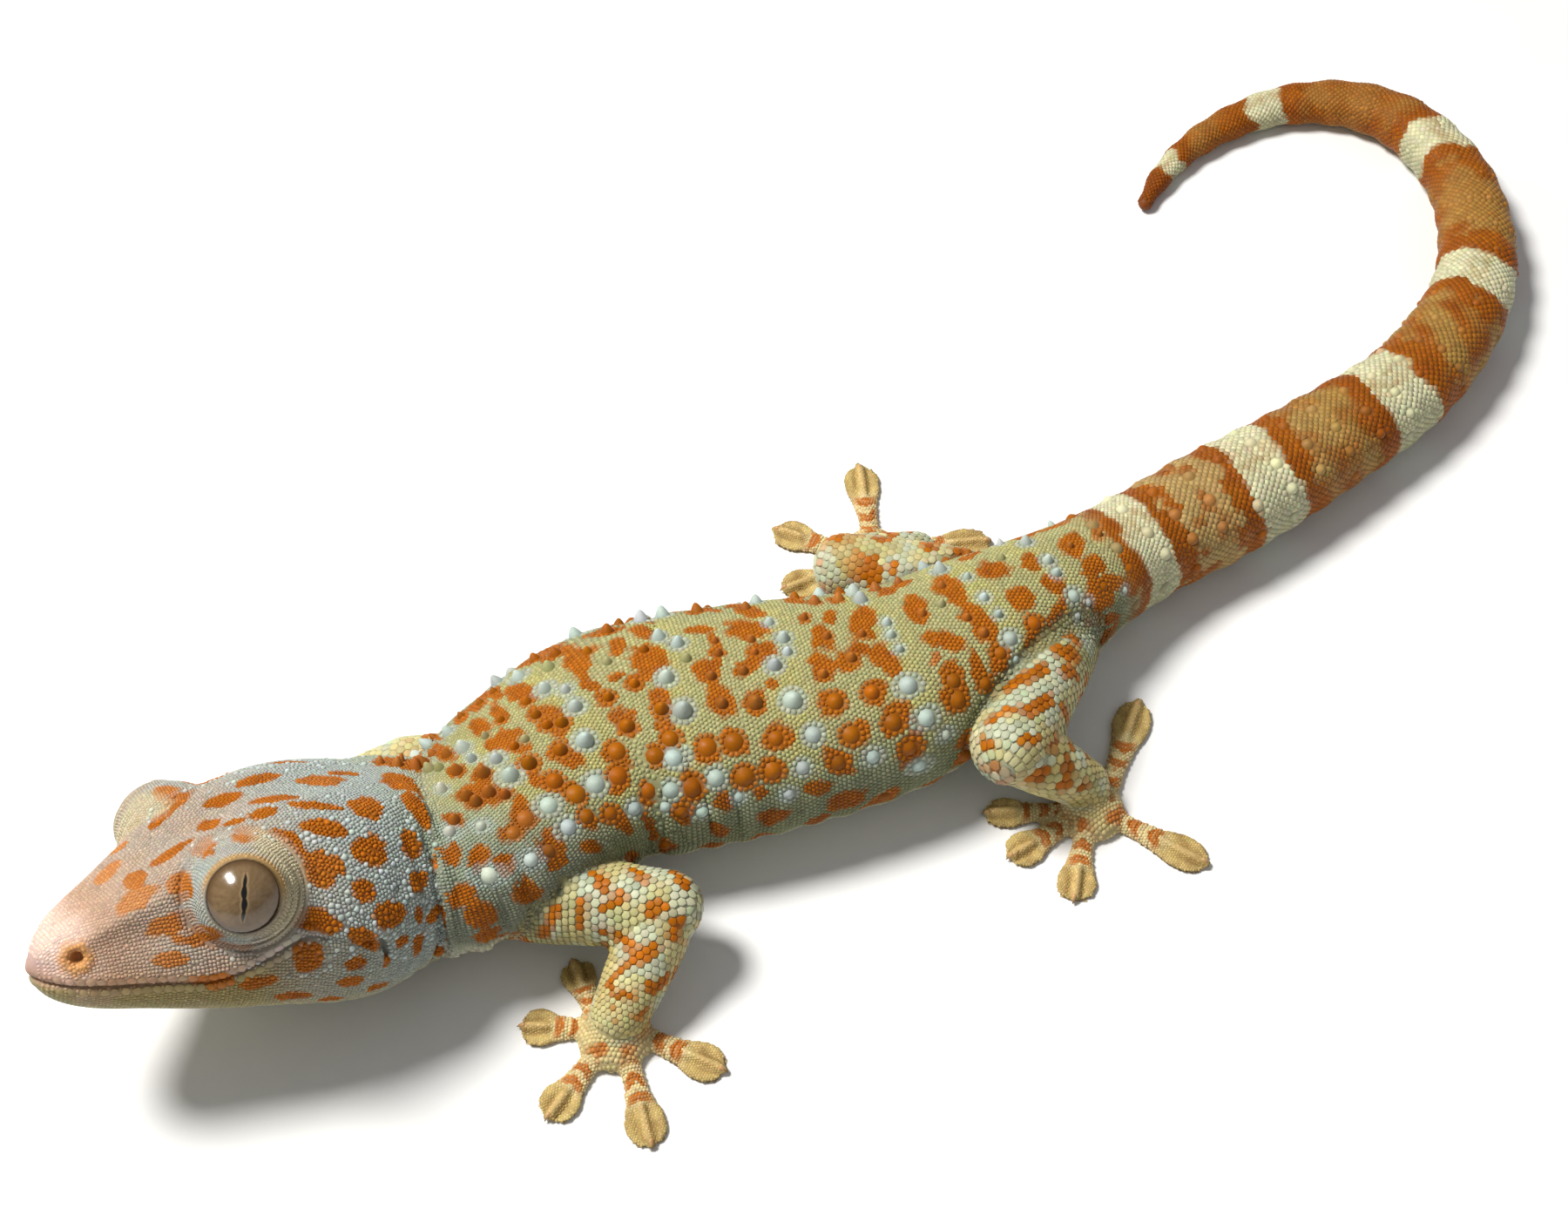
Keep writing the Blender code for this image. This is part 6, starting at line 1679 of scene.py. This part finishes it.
def scale_meshes(s, look):
    """One joined mesh for each piece of the coat."""
    base = look.colour(s["at"])
    rng = seeded(8)
    own = s["tint"][:, 0] >= 0
    base[own] = s["tint"][own] * 0.85 + base[own] * 0.15
    bead = s["kind"] == BEAD
    orange = (base[bead][:, 0] > 2.2 * base[bead][:, 2])[:, None]
    base[bead] = np.where(orange, base[bead] * 1.06, base[bead] * 0.60 + lin(196, 210, 208) * 0.40)
    whorl = (s["kind"] == CONE) & ~own
    base[whorl] = base[whorl] * 1.03 + 0.003
    base *= (1 + 0.09 * rng.standard_normal(len(base)))[:, None]
    base *= 1 + 0.03 * rng.standard_normal((len(base), 3))
    pieces = {}
    for name in np.unique(s["piece"]):
        verts, quads, tris, cols, uvq = [], [], [], [], []
        total = 0
        for kind in (GRANULE, PLATE, CONE, BEAD, LABIAL):
            m = (s["piece"] == name) & (s["kind"] == kind)
            if not m.any():
                continue
            sides = {GRANULE: 6, PLATE: 6, CONE: 9, BEAD: 8, LABIAL: 8}[kind]
            if str(name).startswith("tail"):
                sides = 8
            cell, t, b, turn = footprints_of(s, m, sides)
            at, nrm, h, col = s["at"][m], s["normal"][m], s["height"][m], base[m]
            # each ring: its share of the footprint, its height and its colour factor; the factor darkens the scale
            # toward its foot and the top's factor lightens its crown, painted shade in the gaps between scales and
            # painted highlight on their tops
            rings = {
                GRANULE: ((1.0, -0.55, 0.86 if str(name)[:4] in ("head", "brow", "feet", "neck") else 0.78), (0.80, 0.62, 0.98)),
                PLATE: (((1.0, -0.6, 0.50), (0.94, 0.66, 0.92), (0.78, 0.94, 1.0)) if str(name) in ("arms", "legs")
                        else ((1.0, -0.6, 0.70 if str(name).startswith("tail") else 0.62), (0.93, 0.84, 0.97))),
                CONE: ((1.0, -0.10, 0.74), (0.82, 0.26, 0.92), (0.56, 0.60, 1.0), (0.28, 0.88, 1.02)),
                BEAD: ((1.0, -0.35, 0.6), (0.86, 0.40, 0.92), (0.50, 0.86, 1.05)),
                LABIAL: ((1.0, -0.9, 0.93), (0.92, 0.55, 0.99)),
            }[kind]
            top = {GRANULE: (1.0, 1.06), PLATE: (0.95, 1.02), CONE: (1.0, 1.06), BEAD: (1.0, 1.08), LABIAL: (1.0, 1.02)}[kind]
            n, nr = m.sum(), len(rings)
            gap = {GRANULE: 0.965, PLATE: 0.985, CONE: 0.98, BEAD: 0.97, LABIAL: 0.975}[kind]
            ang = turn + TAU * np.arange(sides) / sides
            direction = t[:, None] * np.cos(ang)[None, :, None] + b[:, None] * np.sin(ang)[None, :, None]
            if kind == CONE:
                cell = cell * 0.35 + np.minimum(cell.mean(1), s["radius"][m] * 1.05)[:, None] * 0.65
            block = np.zeros((n, sides * nr + 1, 3))
            tone = np.zeros((n, sides * nr + 1, 3))
            lean = np.cos(ang)[None] * cell * (0.13 if kind == PLATE else 0.0)
            for i, (share, up, shade) in enumerate(rings):
                z = h[:, None] * up + (lean * share if i else 0.0)
                block[:, i * sides:(i + 1) * sides] = (at[:, None] + direction * (cell * share * gap)[..., None]
                                                       + nrm[:, None] * z[..., None])
                # a pale cone's foot darker than an orange one's: painted shade round its base
                if kind == CONE and i == 0:
                    shade = np.where(col[:, 0] > 3 * col[:, 2], 0.92, 0.74)[:, None]
                tone[:, i * sides:(i + 1) * sides] = (col * shade)[:, None]
            block[:, -1] = at + nrm * (h * top[0])[:, None]
            block[..., 2] = np.maximum(block[..., 2], 0.02)
            tone[:, -1] = col * top[1]
            per = sides * nr + 1
            first = total + np.arange(n) * per
            k = np.arange(sides)
            for i in range(nr - 1):
                a = i * sides
                q = np.stack([a + k, a + (k + 1) % sides, a + sides + (k + 1) % sides, a + sides + k], -1)
                quads.append((first[:, None, None] + q[None]).reshape(-1, 4))
            a = (nr - 1) * sides
            q = np.stack([a + k, a + (k + 1) % sides, np.full(sides, per - 1)], -1)
            tris.append((first[:, None, None] + q[None]).reshape(-1, 3))
            verts.append(block.reshape(-1, 3)), cols.append(tone.reshape(-1, 3))
            local = np.zeros((n, per, 2))
            patch = 0.0015
            for i, (share, up, shade) in enumerate(rings):
                rad = patch * (1 - 0.8 * i / nr)
                local[:, i * sides:(i + 1) * sides] = np.stack([np.cos(ang), np.sin(ang)], -1)[None] * rad
            uv = s["uv"][m][:, None] + local
            uvq.append(uv.reshape(-1, 2))
            total += n * per
        verts, cols, uvs = np.concatenate(verts), np.concatenate(cols), np.concatenate(uvq)
        faces = [q for q in (np.concatenate(quads) if quads else [], np.concatenate(tris)) if len(q)]
        mesh = mesh_from("scales_" + str(name), verts, faces)
        paint(mesh, cols)
        layer = mesh.uv_layers.new(name="OFBake")
        loops = np.zeros(len(mesh.loops), np.int32)
        mesh.loops.foreach_get("vertex_index", loops)
        layer.data.foreach_set("uv", uvs[loops].astype(np.float32).ravel())
        pieces[str(name)] = mesh
    return pieces


def footprints_of(s, m, sides):
    """Footprints of the chosen scales only, against all their neighbours."""
    i = np.where(m)[0]
    at, nrm, r = s["at"][i], s["normal"][i], s["radius"][i]
    near = s["near"][i]
    t = s["ahead"][i] - nrm * np.einsum("ij,ij->i", s["ahead"][i], nrm)[:, None]
    bad = np.linalg.norm(t, axis=1) < 1e-3
    t[bad] = np.cross(nrm[bad], [0.3, 0.9, 0.1])
    t = unit(t)
    b = np.cross(nrm, t)
    d = s["at"][near] - at[:, None]
    dx = np.einsum("ijk,ik->ij", d, t)
    dy = np.einsum("ijk,ik->ij", d, b)
    power = (dx**2 + dy**2 + r[:, None] ** 2 - s["radius"][near] ** 2) / 2
    power = np.where(near == i[:, None], 99.0, power)
    turn = math.pi / sides if sides == 8 else 0.0
    cell = np.zeros((len(i), sides))
    for k in range(sides):
        a = turn + TAU * k / sides
        dot = dx * math.cos(a) + dy * math.sin(a)
        reach = np.where(dot > 1e-4, power / np.maximum(dot, 1e-4), 99.0)
        cell[:, k] = np.clip(reach.min(1), 0.4 * r, 1.45 * r)
    return cell, t, b, turn


def paint(mesh, colours):
    layer = mesh.color_attributes.new("Col", "FLOAT_COLOR", "POINT")
    rgba = np.ones((len(colours), 4), np.float32)
    rgba[:, :3] = np.clip(colours, 0, 1)
    layer.data.foreach_set("color", rgba.ravel())


# ---- eyes ----------------------------------------------------------------------------------
def eye_mesh(side):
    """A ball on its own look axis: bronze iris, dark rim and an upright lobed slit."""
    fwd, high, look = eye_axes(side)
    c = eye_centre(side)
    r = EYE_RADIUS * HEAD_SIZE
    polar = np.radians(np.concatenate([np.arange(1.0, 64, 0.8), np.arange(66, 180, 6)]))
    m = 160
    a = np.arange(m) * TAU / m
    x = np.sin(polar)[:, None] * np.cos(a)[None]
    y = np.sin(polar)[:, None] * np.sin(a)[None]
    z = np.cos(polar)[:, None] + 0 * a[None]
    bulge = 1 + 0.035 * smooth(0.80, 1.0, z)
    grid = c + r * (fwd * x[..., None] + high * y[..., None] + look * (z * bulge)[..., None])
    flat = grid.reshape(-1, 3)
    verts = np.concatenate([flat, [c + look * r * 1.035, c - look * r]])
    n = len(polar)
    i, j = np.meshgrid(np.arange(n - 1), np.arange(m), indexing="ij")
    q = np.stack([i * m + j, (i + 1) * m + j, (i + 1) * m + (j + 1) % m, i * m + (j + 1) % m], -1).reshape(-1, 4)
    k = np.arange(m)
    tris = np.concatenate([np.stack([np.full(m, n * m), k, (k + 1) % m], -1),
                           np.stack([np.full(m, n * m + 1), (n - 1) * m + (k + 1) % m, (n - 1) * m + k], -1)])
    mesh = mesh_from("eye_ball", verts, [q, tris])
    px = np.concatenate([(r * x).reshape(-1), [0, 0]])
    py = np.concatenate([(r * y).reshape(-1), [0, 0]])
    pz = np.concatenate([z.reshape(-1), [1, -1]])
    rho = np.hypot(px, py)
    ang = np.arctan2(py, px)
    p = np.stack([px, py, 0 * px + 9 * side], -1)
    streak = noise3(np.stack([np.cos(ang) * 6, np.sin(ang) * 6, rho * 0.55], -1), 0.55, 71)
    fine = noise3(p, 0.28, 72)
    net = noise3(np.stack([px * 2.2, py * 0.9, 0 * px], -1), 0.5, 73)
    iris = mix(np.repeat(lin(122, 98, 68)[None], len(p), 0), lin(104, 82, 54)[None], np.clip(1.3 * streak - 0.3, 0, 1))
    iris = mix(iris, lin(136, 112, 80)[None], np.clip(fine * 1.6 - 0.85, 0, 1) * 0.5)
    iris = mix(iris, lin(92, 70, 44)[None], np.clip(net * 1.7 - 0.95, 0, 1) * 0.4)
    iris = mix(iris, lin(80, 56, 28)[None], 0.85 * smooth(3.1, 3.9, rho))
    # slit with four scalloped lobes, its edge picked out paler
    t = np.clip(np.abs(py) / 2.75, 0, 1)
    wide = (0.19 * (1 - t**3) + 0.14 * np.abs(np.sin(py * math.pi / 1.35)) * (1 - t**2)) * (t < 1)
    d = np.abs(px - 0.17 * py + 0.05 * np.sin(py * 2.0)) - wide
    iris = mix(iris, lin(178, 154, 112)[None], 0.35 * bell(d - 0.11, 0.10) * (t < 0.98))
    slit = (1 - smooth(-0.06, 0.05, d)) * (np.abs(py) < 2.75)
    iris = mix(iris, np.array([[0.004, 0.003, 0.003]]), slit)
    iris = mix(iris, lin(34, 24, 14)[None], smooth(3.75, 4.1, rho))
    iris = np.where((pz < 0.3)[:, None], lin(30, 24, 18)[None], iris)
    paint(mesh, iris)
    return mesh


# ---- claws and the plates under the toes ---------------------------------------------------------
def claws_mesh():
    verts, quads, tris = [], [], []
    n = 0
    m = 8
    for label in LIMBS:
        for number in range(1, 6):
            start, ahead, side, length, wide = toe_frame(label, number)
            up = np.array([0, 0, 1.0])
            base = start + ahead * length * 0.895 + up * 0.78
            rings = []
            for t in (0.0, 0.2, 0.4, 0.6, 0.8, 0.93):
                r = 0.50 * (1 - t) ** 0.8 + 0.025
                c = base + ahead * (t * 1.02) + up * (0.20 * math.sin(t * math.pi) - 0.36 * t * t)
                a = np.arange(m) * TAU / m
                rings.append(c + side * (np.cos(a) * r * 0.72)[:, None] + up * (np.sin(a) * r)[:, None])
            tip = base + ahead * 1.05 - up * 0.40
            rings = np.array(rings)
            rings[..., 2] = np.maximum(rings[..., 2], 0.05)
            verts.append(np.concatenate([rings.reshape(-1, 3), [base - ahead * 0.2, tip]]))
            k = np.arange(m)
            for i in range(len(rings) - 1):
                quads.append(n + np.stack([i * m + k, i * m + (k + 1) % m, (i + 1) * m + (k + 1) % m, (i + 1) * m + k], -1))
            e = len(rings) * m
            tris.append(n + np.stack([np.full(m, e), (k + 1) % m, k], -1))
            tris.append(n + np.stack([np.full(m, e + 1), (len(rings) - 1) * m + k, (len(rings) - 1) * m + (k + 1) % m], -1))
            n += e + 2
    verts = np.concatenate(verts)
    mesh = mesh_from("claws", verts, [np.concatenate(quads), np.concatenate(tris)])
    shade = noise3(verts, 0.5, 81)
    out = np.tile(np.concatenate([np.repeat([0.0, 0.2, 0.4, 0.6, 0.8, 0.93], m), [0.0, 1.0]]), 20)
    tone = mix(np.repeat(lin(206, 166, 112)[None], len(verts), 0), lin(176, 128, 78)[None], shade)
    paint(mesh, mix(tone, lin(84, 56, 36)[None], smooth(0.62, 1.0, out)))
    return mesh


def lamellae_mesh():
    """Broad plates across the sole of each toe, close to the floor."""
    verts, quads, cols = [], [], []
    n = 0
    for label in LIMBS:
        for number in range(1, 6):
            start, ahead, side, length, wide = toe_frame(label, number)
            share = 0.40
            while share < 0.90:
                half = float(table_at([q[0] for q in TOE_FINE], [q[1] for q in TOE_FINE], [share])[0]) * wide - 0.12
                x = np.linspace(-0.92, 0.92, 9)
                bend = 0.30 * (1 - x**2)
                c = start + ahead * (length * share)
                for k, (da, z) in enumerate(((-0.24, 0.13), (0.0, 0.03), (0.16, 0.06), (0.20, 0.16))):
                    p = c + side * (x * half)[:, None] + ahead * (bend + da)[:, None] + np.array([0, 0, z])
                    verts.append(p)
                    cols.append(np.repeat(lin(206, 186, 150)[None] * (0.72, 1.0, 0.95, 0.5)[k], 9, 0))
                k = np.arange(8)
                for i in range(3):
                    quads.append(n + np.stack([i * 9 + k, (i + 1) * 9 + k, (i + 1) * 9 + k + 1, i * 9 + k + 1], -1))
                n += 36
                share += 0.62 / length
    mesh = mesh_from("toe_lamellae", np.concatenate(verts), [np.concatenate(quads)])
    paint(mesh, np.concatenate(cols))
    return mesh


# ---- materials ------------------------------------------------------------------------------
def node(tree, kind, **values):
    made = tree.nodes.new(kind)
    for key, value in values.items():
        if key in made.inputs:
            made.inputs[key].default_value = value
        else:
            setattr(made, key, value)
    return made


def painted(name, roughness, spread, bump, size, coat=0.0, mottling=0.12, specular=0.3):
    """Painted colour broken up by fine grain, with its own roughness and bump."""
    mat = bpy.data.materials.new(name)
    mat.use_nodes = True
    tree = mat.node_tree
    shader = tree.nodes["Principled BSDF"]
    shader.inputs["Specular IOR Level"].default_value = specular
    shader.inputs["Coat Weight"].default_value = coat
    shader.inputs["Coat Roughness"].default_value = 0.06 if coat > 0.5 else 0.3
    colour = node(tree, "ShaderNodeVertexColor", layer_name="Col")
    place = node(tree, "ShaderNodeTexCoord")
    grain = node(tree, "ShaderNodeTexNoise", Scale=1.0 / (size * MM), Detail=3.0, Roughness=0.6)
    broad = node(tree, "ShaderNodeTexNoise", Scale=1.0 / (size * 7 * MM), Detail=2.0)
    tree.links.new(place.outputs["Object"], grain.inputs["Vector"])
    tree.links.new(place.outputs["Object"], broad.inputs["Vector"])
    tone = node(tree, "ShaderNodeMapRange")
    tone.inputs["From Min"].default_value, tone.inputs["From Max"].default_value = 0.3, 0.7
    tone.inputs["To Min"].default_value, tone.inputs["To Max"].default_value = 1 - mottling, 1 + mottling
    tree.links.new(grain.outputs["Fac"], tone.inputs["Value"])
    scale = node(tree, "ShaderNodeVectorMath", operation="SCALE")
    tree.links.new(colour.outputs["Color"], scale.inputs[0])
    tree.links.new(tone.outputs["Result"], scale.inputs["Scale"])
    tree.links.new(scale.outputs["Vector"], shader.inputs["Base Color"])
    rough = node(tree, "ShaderNodeMapRange")
    rough.inputs["From Min"].default_value, rough.inputs["From Max"].default_value = 0.3, 0.7
    rough.inputs["To Min"].default_value, rough.inputs["To Max"].default_value = roughness - spread, roughness + spread
    tree.links.new(broad.outputs["Fac"], rough.inputs["Value"])
    tree.links.new(rough.outputs["Result"], shader.inputs["Roughness"])
    if bump:
        dent = node(tree, "ShaderNodeBump", Strength=bump, Distance=size * MM * 0.5)
        tree.links.new(grain.outputs["Fac"], dent.inputs["Height"])
        tree.links.new(dent.outputs["Normal"], shader.inputs["Normal"])
    return mat


# ---- the stage -----------------------------------------------------------------------------------
def area_light(name, place, target, size, power, colour=(1, 1, 1)):
    lamp = bpy.data.lights.new(name, "AREA")
    lamp.shape, lamp.size, lamp.energy, lamp.color = "DISK", size, power, colour
    obj = bpy.data.objects.new(name, lamp)
    obj.location = place
    way = Vector(target) - Vector(place)
    obj.rotation_euler = way.to_track_quat("-Z", "Y").to_euler()
    bpy.context.scene.collection.objects.link(obj)
    return obj


def build_stage():
    mesh = bpy.data.meshes.new("floor")
    s = 1.6
    mesh.from_pydata([(-s, -s, 0), (s, -s, 0), (s, s, 0), (-s, s, 0)], [], [(0, 1, 2, 3)])
    floor = link("floor", mesh)
    mat = bpy.data.materials.new("floor")
    mat.use_nodes = True
    tree = mat.node_tree
    shader = tree.nodes["Principled BSDF"]
    shader.inputs["Roughness"].default_value = 0.85
    shader.inputs["Specular IOR Level"].default_value = 0.2
    place = node(tree, "ShaderNodeTexCoord")
    cloud = node(tree, "ShaderNodeTexNoise", Scale=40.0, Detail=4.0)
    ramp = node(tree, "ShaderNodeMapRange")
    ramp.inputs["To Min"].default_value, ramp.inputs["To Max"].default_value = 0.84, 0.90
    tree.links.new(place.outputs["Object"], cloud.inputs["Vector"])
    tree.links.new(cloud.outputs["Fac"], ramp.inputs["Value"])
    tree.links.new(ramp.outputs["Result"], shader.inputs["Base Color"])
    mesh.materials.append(mat)
    scene = bpy.context.scene
    world = bpy.data.worlds.new("studio")
    world.use_nodes = True
    world.node_tree.nodes["Background"].inputs["Color"].default_value = (0.96, 0.98, 1.0, 1)
    world.node_tree.nodes["Background"].inputs["Strength"].default_value = 0.26
    scene.world = world
    area_light("key", (-0.34, 0.20, 0.70), (-0.02, 0, 0.01), 0.24, 8.6, (1.0, 0.98, 0.94))
    area_light("fill", (0.55, -0.55, 0.55), (0.0, 0, 0.01), 0.6, 0.20, (0.95, 0.98, 1.0))
    camera = bpy.data.objects.new("camera", bpy.data.cameras.new("camera"))
    camera.location = (-0.06867, -0.18344, 0.26326)
    camera.rotation_euler = (math.radians(36), 0, math.radians(-17))
    camera.data.lens, camera.data.sensor_width = 56, 36
    camera.data.clip_start = 0.01
    scene.collection.objects.link(camera)
    scene.camera = camera
    scene.view_settings.view_transform = "Standard"


def wear(name, mesh, mat):
    obj = link(name, mesh)
    mesh.materials.append(mat)
    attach(obj, "root")
    return obj


def main():
    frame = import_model()
    parts = all_parts()
    look = Lookup(parts)
    skin = finish_skin(build_skin(parts), look)
    scales = settle_scales(place_scales(parts), skin, look)
    coat = scale_meshes(scales, look)
    co = coords(skin)
    # the skin between the scales painted darker than the scales on it: painted shade in the gaps
    paint(skin, look.colour(co) * 0.76)
    set_coords(skin, co * MM)

    skin_mat = painted("skin", 0.62, 0.08, 0.35, 0.25)
    scale_mat = painted("scales", 0.50, 0.09, 0.22, 0.16, mottling=0.10, specular=0.16)
    toe_mat = painted("toe_scales", 0.60, 0.08, 0.25, 0.14, mottling=0.12)
    claw_mat = painted("claws", 0.32, 0.06, 0.10, 0.2, coat=0.2)
    eye_mat = painted("eyes", 0.22, 0.03, 0.0, 0.05, coat=0.6, mottling=0.06, specular=0.3)

    whole = wear("skin", skin, skin_mat)
    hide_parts(*[n for n in frame["nodes"] if not n.startswith("eye_")])
    for name, mesh in coat.items():
        toes = name == "feet"
        wear("scales_" + name, mesh, toe_mat if toes else scale_mat)
    wear("claws", claws_mesh(), claw_mat)
    wear("toe_lamellae", lamellae_mesh(), toe_mat)
    for side, name in ((1, "left"), (-1, "right")):
        ball = wear("eyeball_" + name, eye_mesh(side), eye_mat)
        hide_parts("eye_" + name)
    build_stage()


main()
